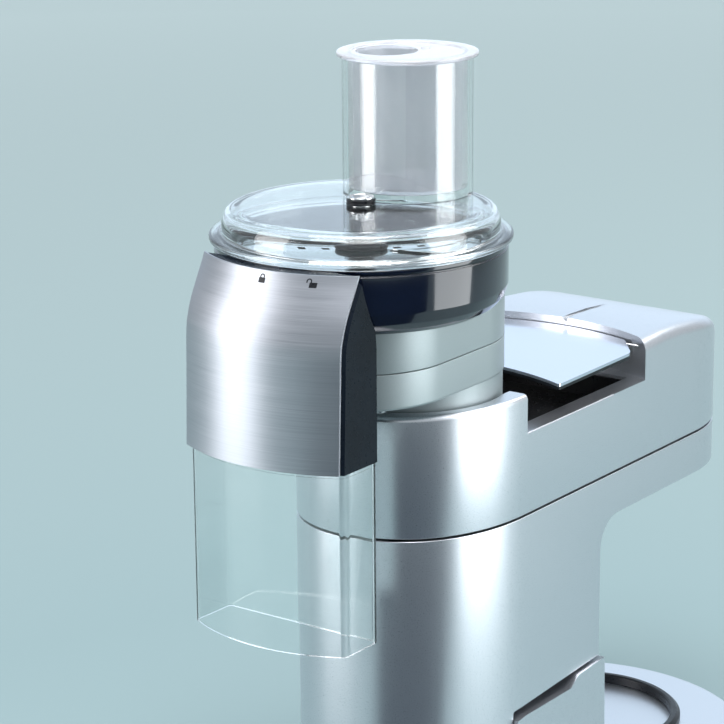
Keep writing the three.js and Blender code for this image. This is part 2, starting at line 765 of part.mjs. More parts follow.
add("motor_shaft", upright(4, 150, 305, OUTLET_AXIS, 16), STEEL, 0.2, 1);
add("drive_dog", driveDog(), STEEL, 0.35, 1);
add("motor_rotor", ring(26, 4.3, 174, 224, OUTLET_AXIS), 0x8a5a34, 0.5, 0.6);
add("motor_stator", ring(42, 27, 172, 226, OUTLET_AXIS, 32), 0x4c4f55, 0.6, 0.6);
add("motor_bracket", motorBracket(), STEEL, 0.5, 1);
add("motor_fan", motorFan(), BLACK, 0.6);
add("motor_pulley", ring(MOTOR_PULLEY_R, 4.3, ...PULLEY_Z, OUTLET_AXIS), 0x9a9da1, 0.4, 1);
add("drive_belt", driveBelt(), BLACK, 0.8);
add("gearbox_pulley", gearboxPulley(), 0x9a9da1, 0.4, 1);
add("gearbox_case", gearboxCase(), 0x9a9da1, 0.5, 1);
add("planet_carrier", planetCarrier(), 0xc6cacd, 0.3, 1);
add("tool_socket", toolSocket(), STEEL, 0.25, 1);
add("slow_outlet_drive", slowOutletDrive(), STEEL, 0.35, 1);
add("slow_outlet_cover", slowOutletCover(), SATIN_SILVER, 0.35, 0.6);

// ---- The pedestal and its foot ----
const PEDESTAL_FLARE = 3;
const KNOB_AXIS = [-35, 80]; // y and z
const LEVER_AXIS = [8, 60];
const GLAND_AXIS = [0, 24]; // x and z

// The column's side outline, with the round seat that the head turns in.
function pedestalSide(inset) {
  const [tiltY] = TILT_AXIS;
  const r = TILT_R + 1.5 + inset;
  return [
    [-170, 8],
    [-170, 113 - inset],
    ...arc(TILT_AXIS, r, -151, -12, 14),
    [tiltY + r + 8, 127.5 - inset],
    [-5, 127.5 - inset],
    [5, 134 - inset],
    [COLUMN_FRONT_Y + 3 - inset, 136 - inset],
    [COLUMN_FRONT_Y + 5 - inset, 8],
  ];
}

function footOutline(inset) {
  const side = 105 - inset;
  const corner = 40;
  const [left, right, rear] = [corner - 105, 105 - corner, FOOT_REAR_Y + corner];
  const frontCentre = PLANETARY_AXIS;
  const front = Array.from({ length: 21 }, (_, i) => {
    const angle = (Math.PI * i) / 20;
    return [
      (FOOT_HALF_WIDTH - inset) * Math.cos(angle),
      frontCentre[1] + (FOOT_FRONT_Y - frontCentre[1] - inset) * Math.sin(angle),
    ];
  });
  return [
    ...front,
    [-side, -20],
    ...arc([left, rear], corner - inset, 180, 270, 6),
    ...arc([right, rear], corner - inset, 270, 360, 6),
    [side, -20],
  ];
}

function pedestal() {
  const columnTop = 140;
  const column = raised(headOutline(0, PEDESTAL_FLARE), FOOT_TOP - 4, columnTop).intersect(
    across(pedestalSide(0), -90, 90),
  );
  const hollow = raised(headOutline(HEAD_WALL, PEDESTAL_FLARE), FOOT_TOP - 5, columnTop).intersect(
    across(pedestalSide(HEAD_WALL), -90, 90),
  );
  const foot = cut(raised(footOutline(0), 8, FOOT_TOP), raised(footOutline(4), 7, FOOT_TOP - 4));
  const [y, z] = TILT_AXIS;
  const ear = join(box(-13, 13, y - 7, y + 7, 82, z), crosswise(9, -13, 13, TILT_AXIS));
  return cut(
    join(cut(join(column, foot), hollow), ear),
    crosswise(4.4, -20, 20, TILT_AXIS, 16),
    crosswise(3.6, -85, -65, KNOB_AXIS, 16),
    crosswise(3.6, -85, -65, LEVER_AXIS, 16),
    lengthwise(6.4, FOOT_REAR_Y - 5, FOOT_REAR_Y + 8, GLAND_AXIS),
  );
}

function speedKnob() {
  const [y, z] = KNOB_AXIS;
  return join(
    crosswise(22, -95, -80, KNOB_AXIS, 36),
    box(-99, -94, y - 3, y + 3, z - 19, z + 19),
    crosswise(3.2, -81, -58, KNOB_AXIS, 16),
  );
}

function speedControl() {
  const [y, z] = KNOB_AXIS;
  return cut(box(-70, -50, y - 15, y + 15, z - 15, z + 15), crosswise(3.6, -71, -57, KNOB_AXIS, 16));
}

function releaseLever() {
  const [y, z] = LEVER_AXIS;
  return join(
    crosswise(8, -86, -80, LEVER_AXIS),
    box(-86, -81, y - 5, y + 5, z, z + 36),
    crosswise(3.2, -81, -66, LEVER_AXIS, 16),
  );
}

function cordGland() {
  const [x, z] = GLAND_AXIS;
  return join(
    lengthwise(9, FOOT_REAR_Y - 3.5, FOOT_REAR_Y - GAP, [x, z], 20),
    lengthwise(6, FOOT_REAR_Y - 1, FOOT_REAR_Y + 9, [x, z], 20),
  );
}

add("tilt_pin", crosswise(4, -33, 33, TILT_AXIS, 16), STEEL, 0.25, 1);
add("pedestal", pedestal(), SATIN_SILVER, 0.35, 0.6);
add("bowl_seat", ring(70, 63, FOOT_TOP + GAP, FOOT_TOP + 7, PLANETARY_AXIS, 40), BLACK, 0.5);
add("base_plate", raised(footOutline(0.5), 5, 7.7), BLACK, 0.6);
for (const [name, x, y] of [
  ["rear_left", -75, -150],
  ["rear_right", 75, -150],
  ["front_left", -75, 190],
  ["front_right", 75, 190],
]) {
  add(`rubber_foot_${name}`, upright(12, 0, 4.7, [x, y], 20), BLACK, 0.9);
}
add("speed_knob", speedKnob(), BLACK, 0.4);
add("speed_control", speedControl(), BLACK, 0.6);
add("release_lever", releaseLever(), BLACK, 0.4);
add("circuit_board", box(-40, 40, -60, 0, 50, 51.6), 0x2f6b45, 0.6);
add("cord_gland", cordGland(), BLACK, 0.8);

export default group;
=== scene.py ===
"""The looks of the food processor and of the machine that drives it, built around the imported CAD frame.

Metres, +Z up. The processor's chute faces -Y and the machine's front faces +Y.
"""

import json
import math

import bmesh
import bpy
from mathutils import Matrix, Vector

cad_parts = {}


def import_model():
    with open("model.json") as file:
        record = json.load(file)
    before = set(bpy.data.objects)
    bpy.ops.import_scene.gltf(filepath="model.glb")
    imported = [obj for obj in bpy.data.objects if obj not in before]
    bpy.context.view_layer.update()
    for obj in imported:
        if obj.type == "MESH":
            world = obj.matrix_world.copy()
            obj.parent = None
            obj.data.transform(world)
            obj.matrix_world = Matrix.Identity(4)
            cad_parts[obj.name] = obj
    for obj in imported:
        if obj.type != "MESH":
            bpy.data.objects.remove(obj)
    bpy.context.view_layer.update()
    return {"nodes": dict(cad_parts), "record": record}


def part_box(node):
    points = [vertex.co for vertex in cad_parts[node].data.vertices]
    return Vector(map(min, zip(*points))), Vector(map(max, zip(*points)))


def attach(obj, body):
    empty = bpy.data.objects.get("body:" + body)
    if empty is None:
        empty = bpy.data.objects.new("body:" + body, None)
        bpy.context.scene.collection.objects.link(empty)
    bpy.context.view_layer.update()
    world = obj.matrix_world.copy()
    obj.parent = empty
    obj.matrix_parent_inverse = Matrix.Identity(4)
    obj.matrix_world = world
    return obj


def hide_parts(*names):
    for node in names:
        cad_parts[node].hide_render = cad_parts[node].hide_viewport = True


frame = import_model()
SCENE = bpy.context.scene
MM = 0.001

# ---- Driving dimensions, in millimetres, shared with the CAD source ----
BOWL_AXIS = (0, -130)
OUTLET_AXIS = (0, -80)
RIM_Z = 448
GAP = 0.3


def rim(height):
    """A height measured from the underside of the lid's flange."""
    return RIM_Z + height


def from_rim(profile):
    """A (radius, height) profile with its heights measured that way."""
    return [(radius, rim(height)) for radius, height in profile]


# ---- Camera ----
CAMERA_AT = (0.94776, -1.43482, 0.81608)
CAMERA_ANGLES = (35.9995, 15.5164, -0.4743)
CAMERA_LENS = 134.72


def camera():
    """A long lens at one azimuth round the object, one elevation and a slight roll, all in degrees."""
    azimuth, elevation, roll = (math.radians(angle) for angle in CAMERA_ANGLES)
    level = math.cos(elevation)
    back = Vector((math.sin(azimuth) * level, -math.cos(azimuth) * level, math.sin(elevation)))
    right = Vector((math.cos(azimuth), math.sin(azimuth), 0))
    up = back.cross(right)
    turned_right = math.cos(roll) * right + math.sin(roll) * up
    turned_up = math.cos(roll) * up - math.sin(roll) * right
    data = bpy.data.cameras.new("camera")
    data.lens = CAMERA_LENS
    data.sensor_width = 36
    data.clip_end = 100
    eye = bpy.data.objects.new("camera", data)
    axes = Matrix((turned_right, turned_up, back)).transposed()
    eye.matrix_world = Matrix.Translation(CAMERA_AT) @ axes.to_4x4()
    SCENE.collection.objects.link(eye)
    SCENE.camera = eye


camera()


# ---- Mesh building ----
ON_AXIS = 1e-6
WELD_DISTANCE = 2e-6


def mesh_object(name, bm):
    """An object in the scene made from a closed bmesh, with its faces pointing out."""
    bmesh.ops.recalc_face_normals(bm, faces=bm.faces)
    data = bpy.data.meshes.new(name)
    bm.to_mesh(data)
    bm.free()
    made = bpy.data.objects.new(name, data)
    SCENE.collection.objects.link(made)
    return made


def stacked(name, rings):
    """A closed body through a list of rings, each a list of points in millimetres with the same count."""
    bm = bmesh.new()
    rows = [[bm.verts.new(Vector(p) * MM) for p in ring] for ring in rings]
    for low, high in zip(rows, rows[1:]):
        for i, corner in enumerate(low):
            following = (i + 1) % len(low)
            bm.faces.new((corner, low[following], high[following], high[i]))
    bm.faces.new(list(reversed(rows[0])))
    bm.faces.new(rows[-1])
    return mesh_object(name, bm)


def prism(name, outline, low, high):
    """A plan outline of (x, y) points raised from one height to another."""
    return stacked(name, [[(x, y, z) for x, y in outline] for z in (low, high)])


def across(name, outline, left, right):
    """A side outline of (y, z) points run across from one x to another."""
    return stacked(name, [[(x, y, z) for y, z in outline] for x in (left, right)])


def block(name, x0, x1, y0, y1, z0, z1):
    """A box between two places along each axis, used to cut or to bound other shapes."""
    return prism(name, [(x0, y0), (x1, y0), (x1, y1), (x0, y1)], z0, z1)


def circle(centre, radius, start=0, end=360, steps=128):
    """Points on an arc in degrees. A full circle doesn't repeat its first point."""
    count = steps if abs(end - start) == 360 else steps + 1
    angles = (math.radians(start + (end - start) * i / steps) for i in range(count))
    return [(centre[0] + radius * math.cos(a), centre[1] + radius * math.sin(a)) for a in angles]


def upright(name, radius, low, high, axis, steps=96):
    """A cylinder along Z about an (x, y) axis."""
    return prism(name, circle(axis, radius, steps=steps), low, high)


def sideways(name, radius, x0, x1, centre, steps=64):
    """A cylinder along X centred on (y, z)."""
    return across(name, circle(centre, radius, steps=steps), x0, x1)


def lengthways(name, radius, y0, y1, centre, steps=64):
    """A cylinder along Y centred on (x, z)."""
    outline = circle(centre, radius, steps=steps)
    return stacked(name, [[(x, y, z) for x, z in outline] for y in (y0, y1)])


def corner_curve(start, corner, end, steps):
    """Points from start to end on a curve that heads for the corner and turns away."""
    shares = (i / steps for i in range(steps + 1))
    return [tuple((1 - t) ** 2 * start + 2 * t * (1 - t) * corner + t**2 * end) for t in shares]


def rounded(profile, radius, steps=5):
    """A list of (u, v) points with each corner but the first and last replaced by a short curve."""
    made = [profile[0]]
    for before, corner, after in zip(profile, profile[1:], profile[2:]):
        here = Vector(corner)
        towards = [Vector(p) - here for p in (before, after)]
        reach = min([radius] + [0.45 * side.length for side in towards])
        start, end = (here + side.normalized() * reach for side in towards)
        made += corner_curve(start, here, end, steps)
    made.append(profile[-1])
    return made


def lathe(name, profile, axis, steps=144):
    """A profile of (radius, z) points turned about an upright axis.

    The profile closes on itself, or starts and ends on the axis.
    """
    bm = bmesh.new()
    rows = []
    for radius, z in profile:
        ring = circle(axis, radius, steps=steps) if radius > ON_AXIS else [axis]
        rows.append([bm.verts.new(Vector((x, y, z)) * MM) for x, y in ring])
    pairs = list(zip(rows, rows[1:]))
    if profile[0][0] > ON_AXIS:
        pairs.append((rows[-1], rows[0]))
    for low, high in pairs:
        for i in range(steps):
            round_the_face = ((low, i), (low, i + 1), (high, i + 1), (high, i))
            corners = [row[k % len(row)] for row, k in round_the_face]
            bm.faces.new(list(dict.fromkeys(corners)))
    return mesh_object(name, bm)


def applied(obj):
    """Turns an object's modifiers into its mesh."""
    graph = bpy.context.evaluated_depsgraph_get()
    data = bpy.data.meshes.new_from_object(obj.evaluated_get(graph))
    obj.modifiers.clear()
    obj.data = data
    return obj


def combine(kind, first, *others):
    """One body from several. The first one keeps its name, and the others are used up."""
    for other in others:
        step = first.modifiers.new("combine", "BOOLEAN")
        step.operation = kind
        step.solver = "MANIFOLD"
        step.object = other
        applied(first)
        bpy.data.objects.remove(other)
    return first


def cut(first, *others):
    return combine("DIFFERENCE", first, *others)


def join(first, *others):
    return combine("UNION", first, *others)


def common(first, *others):
    return combine("INTERSECT", first, *others)


def soften(obj, width, segments=3, sharp=28):
    """Rounds the hard edges and shades the rest smooth."""
    bevel = obj.modifiers.new("soften", "BEVEL")
    bevel.width = width * MM
    bevel.segments = segments
    bevel.limit_method = "ANGLE"
    bevel.angle_limit = math.radians(sharp)
    bevel.use_clamp_overlap = True
    bevel.miter_outer = "MITER_ARC"
    bevel.harden_normals = True
    return applied(shade(obj, sharp))


def shade(obj, sharp=35):
    """Smooth faces, with the edges over an angle kept hard."""
    bm = bmesh.new()
    bm.from_mesh(obj.data)
    bmesh.ops.remove_doubles(bm, verts=bm.verts, dist=WELD_DISTANCE)
    for face in bm.faces:
        face.smooth = True
    for edge in bm.edges:
        edge.smooth = edge.calc_face_angle(0) < math.radians(sharp)
    bm.to_mesh(obj.data)
    bm.free()
    return obj


def place(obj, material, body, slot, *nodes):
    """A finished piece: its material, the body it rides on and the CAD nodes it stands for. The slot argument
    is not used.
    """
    obj.data.materials.clear()
    obj.data.materials.append(material)
    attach(obj, body)
    if nodes:
        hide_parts(*nodes)
    return obj


# ---- Materials ----
def principled(name, **sockets):
    """A new material, its node tree and its shader, with constant values on the shader's own sockets."""
    made = bpy.data.materials.new(name)
    made.use_nodes = True
    shader = made.node_tree.nodes["Principled BSDF"]
    for socket, value in sockets.items():
        shader.inputs[socket.replace("_", " ")].default_value = value
    return made, made.node_tree, shader


def object_texture(tree, kind, stretch):
    """A texture laid out in the object's own metres, stretched along each axis."""
    texture = tree.nodes.new(kind)
    place_of = tree.nodes.new("ShaderNodeTexCoord")
    mapping = tree.nodes.new("ShaderNodeMapping")
    mapping.inputs["Scale"].default_value = stretch
    tree.links.new(place_of.outputs["Object"], mapping.inputs["Vector"])
    tree.links.new(mapping.outputs["Vector"], texture.inputs["Vector"])
    return texture


def noise(tree, scale, stretch=(1, 1, 1), detail=4):
    """Noise whose grains are about a millimetre across at a scale of 1000."""
    texture = object_texture(tree, "ShaderNodeTexNoise", stretch)
    texture.inputs["Scale"].default_value = scale
    texture.inputs["Detail"].default_value = detail
    return texture.outputs["Fac"]


def ramped(tree, factor, dark, light, low, high):
    """A colour that runs from dark to light as a factor runs from low to high."""
    ramp = tree.nodes.new("ShaderNodeValToRGB")
    for stop, position, colour in zip(ramp.color_ramp.elements, (low, high), (dark, light)):
        stop.position = position
        stop.color = (*colour, 1)
    tree.links.new(factor, ramp.inputs["Fac"])
    return ramp.outputs["Color"]


def tinted(tree, shader, factor, dark, light, low=0.3, high=0.7):
    """A base colour that drifts between two shades."""
    tree.links.new(ramped(tree, factor, dark, light, low, high), shader.inputs["Base Color"])


def roughened(tree, shader, factor, smooth, rough):
    """A roughness that drifts between two values."""
    spread = tree.nodes.new("ShaderNodeMapRange")
    spread.inputs["From Min"].default_value = 0.3
    spread.inputs["From Max"].default_value = 0.7
    spread.inputs["To Min"].default_value = smooth
    spread.inputs["To Max"].default_value = rough
    tree.links.new(factor, spread.inputs["Value"])
    tree.links.new(spread.outputs["Result"], shader.inputs["Roughness"])


def bumped(tree, shader, factor, depth):
    """A height map whose full range is a depth in millimetres."""
    bump = tree.nodes.new("ShaderNodeBump")
    bump.inputs["Strength"].default_value = 1.0
    bump.inputs["Distance"].default_value = depth * MM
    tree.links.new(factor, bump.inputs["Height"])
    tree.links.new(bump.outputs["Normal"], shader.inputs["Normal"])


def clear_plastic(name, dark, light, transmission):
    """Moulded clear plastic with slight waves. Less transmission makes it milky."""
    made, tree, shader = principled(name, Transmission_Weight=transmission, IOR=1.55)
    drift = noise(tree, 12, detail=2)
    tinted(tree, shader, drift, dark, light)
    roughened(tree, shader, drift, 0.0, 0.03)
    bumped(tree, shader, noise(tree, 40, detail=1), 0.012)
    return made


def gloss_navy():
    """Dark blue plastic with a polished skin."""
    coat = {"Coat_Weight": 0.4, "Coat_Roughness": 0.03}
    made, tree, shader = principled("gloss_navy", Specular_IOR_Level=0.6, **coat)
    drift = noise(tree, 30)
    tinted(tree, shader, drift, (0.002, 0.004, 0.014), (0.004, 0.008, 0.024))
    roughened(tree, shader, drift, 0.08, 0.14)
    bumped(tree, shader, noise(tree, 60, detail=1), 0.03)
    return made


def moulded(name, dark, light, smooth, rough, grain=1400, depth=0.02, **sockets):
    """Opaque plastic with a fine moulded grain."""
    made, tree, shader = principled(name, **sockets)
    tinted(tree, shader, noise(tree, 45), dark, light)
    roughened(tree, shader, noise(tree, grain / 4), smooth, rough)
    bumped(tree, shader, noise(tree, grain, detail=3), depth)
    return made


def brushed_steel():
    """Fine horizontal brushing: long grains across, short ones up and down."""
    made, tree, shader = principled("brushed_steel", Metallic=1.0)
    grain = noise(tree, 1500, stretch=(0.012, 0.012, 2.4), detail=3)
    tinted(tree, shader, grain, (0.34, 0.36, 0.40), (0.43, 0.45, 0.49))
    roughened(tree, shader, grain, 0.32, 0.40)
    bumped(tree, shader, grain, 0.003)
    return made


def satin_paint(name, dark, light, smooth, rough, metallic):
    """Metallic paint: tiny flakes in a smooth satin coat."""
    made, tree, shader = principled(name, Metallic=metallic)
    flakes = noise(tree, 2200, detail=2)
    tinted(tree, shader, flakes, dark, light)
    roughened(tree, shader, flakes, smooth, rough)
    bumped(tree, shader, flakes, 0.0015)
    return made


def machined(name, dark, light, smooth, rough):
    """Bare metal with fine turning marks."""
    made, tree, shader = principled(name, Metallic=1.0)
    marks = noise(tree, 700, stretch=(0.4, 0.4, 3))
    tinted(tree, shader, marks, dark, light)
    roughened(tree, shader, marks, smooth, rough)
    bumped(tree, shader, marks, 0.003)
    return made


MATERIALS = {
    "clear_plastic": clear_plastic("clear_plastic", (0.93, 0.965, 0.965), (0.975, 0.99, 0.99), 1.0),
    "bowl_plastic": gloss_navy(),
    "chute_plastic": moulded(
        "dark_plastic", (0.004, 0.007, 0.013), (0.006, 0.011, 0.020), 0.26, 0.32,
        depth=0.001, Specular_IOR_Level=0.14,
    ),
    "brushed_steel_cover": brushed_steel(),
    "silver_case": satin_paint("silver_paint", (0.60, 0.62, 0.66), (0.69, 0.71, 0.75), 0.27, 0.33, 0.95),
    "silver_plastic": satin_paint("silver_plastic", (0.36, 0.41, 0.42), (0.41, 0.46, 0.47), 0.44, 0.50, 0.6),
    # partly painted reflection: besides its glossier finish, the flap's paint is lighter and bluer than the
    # case's, with the pale blue sky it reflects painted into its colour
    "flap_silver": satin_paint("flap_silver", (0.66, 0.70, 0.80), (0.72, 0.76, 0.86), 0.14, 0.18, 0.95),
    "black_plastic": moulded(
        "black_plastic", (0.006, 0.007, 0.010), (0.010, 0.012, 0.016), 0.25, 0.4,
        depth=0.01, Specular_IOR_Level=0.3,
    ),
    "steel": machined("ground_steel", (0.42, 0.43, 0.44), (0.6, 0.61, 0.62), 0.2, 0.34),
    "polished_steel": machined("polished_steel", (0.72, 0.73, 0.74), (0.82, 0.83, 0.84), 0.05, 0.12),
    "gear_nylon": moulded("gear_nylon", (0.62, 0.60, 0.53), (0.7, 0.68, 0.61), 0.4, 0.5),
    "aluminium": machined("cast_aluminium", (0.42, 0.43, 0.44), (0.55, 0.56, 0.57), 0.35, 0.5),
    "rotor_copper": machined("wound_copper", (0.36, 0.14, 0.06), (0.62, 0.27, 0.12), 0.3, 0.45),
    "rubber": moulded("rubber", (0.010, 0.010, 0.011), (0.02, 0.02, 0.022), 0.7, 0.85, grain=900),
    "board_green": moulded("circuit_board", (0.008, 0.07, 0.03), (0.014, 0.10, 0.05), 0.35, 0.5),
}
MILKY_PLASTIC = clear_plastic("milky_plastic", (0.95, 0.94, 0.98), (0.98, 0.97, 1.0), 0.7)


def finish_cad_nodes():
    """Every CAD node takes the material of its slot. The ones that are replaced later are hidden."""
    for row in frame["record"]["subparts"]:
        node = frame["nodes"][row["node"]]
        node.data.materials.clear()
        node.data.materials.append(MATERIALS[row["material_slot"]])


finish_cad_nodes()


def show(obj, slot, body, *nodes):
    """Places a piece with the material that its slot has."""
    return place(obj, MATERIALS[slot], body, slot, *nodes)


# ---- The lid, its bearing and the pusher ----
LID_FLANGE_R = 93
TUBE_R = 40.7
TUBE_WALL = 3
TUBE_TOP = rim(104.4)
PUSHER_PLAY = 0.7
PUSHER_WALL = 2.2
PUSHER_RIM_R = 44


def lid():
    """The flange and dome, with the feed tube in it and a hole for the bearing."""
    flange = LID_FLANGE_R
    outside = [(0, 0), (flange, 0), (flange, 4), (85.6, 4), (85, 12), (82.5, 18.2), (77, 20), (0, 20)]
    hollow = [(0, -1), (82, -1), (82, 11.5), (79.8, 15.6), (75, 17), (0, 17)]
    dome = lathe("clear_lid", rounded(from_rim(outside), 2.2), BOWL_AXIS, 192)
    inside = lathe("inside", rounded(from_rim(hollow), 2), BOWL_AXIS, 192)
    bore = TUBE_R - TUBE_WALL
    wall = upright("wall", TUBE_R, rim(-5), TUBE_TOP, OUTLET_AXIS, steps=128)
    inner = upright("inner", bore, rim(-6), TUBE_TOP + 1, OUTLET_AXIS, steps=128)
    wall = cut(wall, inner)
    above = join(
        upright("above", 82.6, rim(-6), rim(2), BOWL_AXIS, steps=192),
        block("clear_of_rim", -50, 50, -170, 0, rim(1.9), rim(110)),
    )
    made = join(cut(dome, inside), common(wall, above))
    made = cut(
        made,
        upright("tube_bore", bore, rim(4.2), rim(106), OUTLET_AXIS, steps=128),
        upright("bearing_hole", 6.6, rim(16), rim(21), BOWL_AXIS, steps=48),
    )
    return soften(made, 0.5, segments=2, sharp=40)


def pusher():
    """A rimmed cup that fits the tube, with a holed plate in its mouth and a small knob on the plate."""
    skirt = TUBE_R - TUBE_WALL - PUSHER_PLAY
    bore = skirt - PUSHER_WALL
    section = [(0, 24), (skirt, 24), (skirt, 104.8), (PUSHER_RIM_R, 104.8), (PUSHER_RIM_R, 107.6)]
    section += [(bore, 107.6), (bore, 26.4), (0, 26.4)]
    cup = lathe("clear_pusher", rounded(from_rim(section), 1.1, steps=4), OUTLET_AXIS)
    x, y = OUTLET_AXIS
    finger_hole = upright("finger_hole", 19.5, rim(100), rim(110), (x - 13, y - 4), steps=96)
    plate = cut(upright("plate", skirt - 1, rim(105), rim(106.8), OUTLET_AXIS, steps=128), finger_hole)
    knob = upright("knob", 3, rim(106), rim(107.6), (x + 1, y + 18), steps=32)
    return shade(join(cup, plate, knob), 40)


def lid_bearing():
    """A flanged bush through the lid, with a groove round its head."""
    section = [(0, 18.8), (3.4, 18.8), (3.4, 12.8), (9, 12.8), (9, 16.6), (6.2, 16.6), (6.2, 20.3)]
    section += [(9, 20.3), (9, 21.4), (8.5, 21.6), (8.5, 22.2), (9, 22.4), (9, 23.4), (0, 23.4)]
    ring = rounded(from_rim(section), 0.3, steps=3)
    return shade(lathe("bearing_ring", ring, BOWL_AXIS, 96), 50)


def bearing_cap():
    """A dished cap with a raised edge and a groove."""
    section = [(0, 23.7), (8.2, 23.7), (8.2, 25), (6.8, 25)]
    section += [(6.4, 24.5), (5.6, 24.5), (5.2, 24.9), (0, 24.9)]
    return shade(lathe("chrome_cap", rounded(from_rim(section), 0.35, steps=3), BOWL_AXIS, 96), 50)


show(lid(), "clear_plastic", "lid", "lid")
place(pusher(), MILKY_PLASTIC, "pusher", "clear_plastic", "pusher")
show(lid_bearing(), "black_plastic", "lid_centre", "lid_bearing")
show(bearing_cap(), "polished_steel", "lid_centre", "bearing_cap")


# ---- The cutting disc ----
DISC_TOP = rim(-8)
DISC_UNDERSIDE = rim(-11)
BLADE_Y = -132


def disc_window(turn, distance):
    """A cutter for a short tapered window, turned about the disc's axis and set out from it."""
    outline = []
    for u, v in ((-2.6, -6), (2.6, -6), (2.2, 6), (-2.2, 6)):
        out = u + distance
        x = BOWL_AXIS[0] + out * math.cos(turn) - v * math.sin(turn)
        y = BOWL_AXIS[1] + out * math.sin(turn) + v * math.cos(turn)
        outline.append((x, y))
    return prism("window", outline, DISC_UNDERSIDE, DISC_TOP)


def cutting_disc():
    """A pressed disc with a shallow groove near its rim, a slot for the blade and four small windows."""
    section = [(5.6, -10.2), (83.5, -10.2), (83.5, -8.6), (80, -8.6)]
    section += [(79, -9), (76, -9), (75, -8.6), (5.6, -8.6)]
    plate = lathe("slicing_disc", rounded(from_rim(section), 0.4, steps=3), BOWL_AXIS, 160)
    windows = []
    for turn in (math.radians(42), math.radians(222)):
        for distance in (22, 37):
            windows.append(disc_window(turn, distance))
    slot = block("slot", 22, 74, BLADE_Y - 1, BLADE_Y + 6, DISC_UNDERSIDE, DISC_TOP)
    return soften(cut(plate, slot, *windows), 0.2, segments=2)


def disc_blade():
    """A blade ground from below, on two small feet."""
    y = BLADE_Y
    low = rim(-7.2)
    high = rim(-6.4)
    section = [(y, high), (y, high - 0.2), (y + 1.6, low), (y + 4, low), (y + 4, high)]
    edge = across("ground_blade", section, 24, 72)
    feet = [block("foot", x, x + 4, y + 1.2, y + 4, rim(-10.4), rim(-6.8)) for x in (24, 68)]
    return soften(join(edge, *feet), 0.12, segments=2)


def disc_hub():
    """A cone-shaped foot that narrows to a sleeve round the spindle."""
    section = [(5.3, -8.3), (16, -8.3), (16.6, -3.6), (15.4, -1.2), (9.4, 0.4), (8, 2.5), (8, 9), (5.3, 9)]
    return shade(lathe("turned_hub", rounded(from_rim(section), 1.2), BOWL_AXIS, 96), 40)


show(cutting_disc(), "polished_steel", "cutter", "cutting_disc")
show(disc_blade(), "polished_steel", "cutter", "disc_blade")
show(disc_hub(), "black_plastic", "cutter", "disc_hub")


# ---- The bowl, the chute, its cover and the outlet guard ----
BOWL_R = 90
BOWL_FLOOR = rim(-42)
BOWL_PROFILE = [(75, BOWL_FLOOR), (80, rim(-41)), (84.5, rim(-38)), (88, rim(-33.5)), (BOWL_R, rim(-27))]
CHUTE_HALF_WIDTH = 59
CHUTE_BACK_Y = -197
CHUTE_WALL = 2.4
CHUTE_BOTTOM = rim(-116.3)
COVER_HALF_WIDTH = 57
COVER_TOP = [(99.5, -1), (101.5, -6), (104.5, -12.5), (108, -20), (111, -27), (113.5, -35), (115.2, -45)]
COVER_PROFILE = [*from_rim(COVER_TOP), (116, rim(-70)), (117.5, CHUTE_BOTTOM)]


def bowl():
    """A turned bowl with a groove under its rim, an outlet into the chute and a chimney in the middle."""
    groove = [(BOWL_R, rim(-4.5)), (89.3, rim(-4)), (89.3, rim(-3.2)), (BOWL_R, rim(-2.8))]
    outside = [(0, BOWL_FLOOR), *BOWL_PROFILE, *groove, (BOWL_R, rim(-GAP)), (0, rim(-GAP))]
    shell = lathe("glossy_bowl", rounded(outside, 0.6, steps=3), BOWL_AXIS, 192)
    inside = [(0, -38.5), (74, -38.5), (80, -36.5), (84, -32), (86, -26), (86, 1), (0, 1)]
    made = cut(
        shell,
        lathe("hollow", from_rim(inside), BOWL_AXIS, 192),
        block("outlet", -42, 42, -240, -196, rim(-34), rim(-11)),
    )
    made = join(made, upright("chimney", 9, rim(-40), rim(-15.5), BOWL_AXIS))
    made = cut(made, upright("chimney_bore", 6, rim(-43), rim(-14), BOWL_AXIS))
    return soften(made, 0.35, segments=2, sharp=38)


def smooth_profile(points, steps=5):
    """A curve through every point, with extra points between them."""
    made = []
    for i in range(len(points) - 1):
        p0, p1, p2, p3 = (Vector(points[min(max(i + k, 0), len(points) - 1)]) for k in (-1, 0, 1, 2))
        for step in range(steps):
            t = step / steps
            straight = 2 * p1 + (p2 - p0) * t
            bend = (2 * p0 - 5 * p1 + 4 * p2 - p3) * t**2
            twist = (3 * p1 - p0 - 3 * p2 + p3) * t**3
            made.append(tuple(0.5 * (straight + bend + twist)))
    made.append(tuple(points[-1]))
    return made


COVER_CURVE = smooth_profile(COVER_PROFILE)


def behind_cover(name, inset, top, bottom):
    """A solid bounded in front by the cover's curve, drawn in by an inset."""
    face = [(r - inset, z) for r, z in COVER_CURVE]
    face[0] = (face[0][0], top)
    face[-1] = (face[-1][0], bottom)
    return lathe(name, [(0, top), *face, (0, bottom)], BOWL_AXIS, 240)


def steel_cover():
    """A pressed sheet of even thickness over the front of the chute."""
    sheet = cut(
        behind_cover("pressed_cover", 0, rim(-1), CHUTE_BOTTOM),
        behind_cover("behind_sheet", 1.2, rim(0), CHUTE_BOTTOM - 1),
    )
    half = COVER_HALF_WIDTH
    between = block("between", -half, half, -260, -180, rim(-130), rim(0))
    return soften(common(sheet, between), 0.45, segments=3)


def on_cover(x, z, proud):
    """A point on the steel cover, or proud of it, at one place across and one height."""
    for (r0, z0), (r1, z1) in zip(COVER_CURVE, COVER_CURVE[1:]):
        if z1 <= z <= z0:
            radius = r0 + (r1 - r0) * (z0 - z) / (z0 - z1) + proud
            return (x, BOWL_AXIS[1] - math.sqrt(radius**2 - x**2), z)
    raise ValueError("no steel at that height")


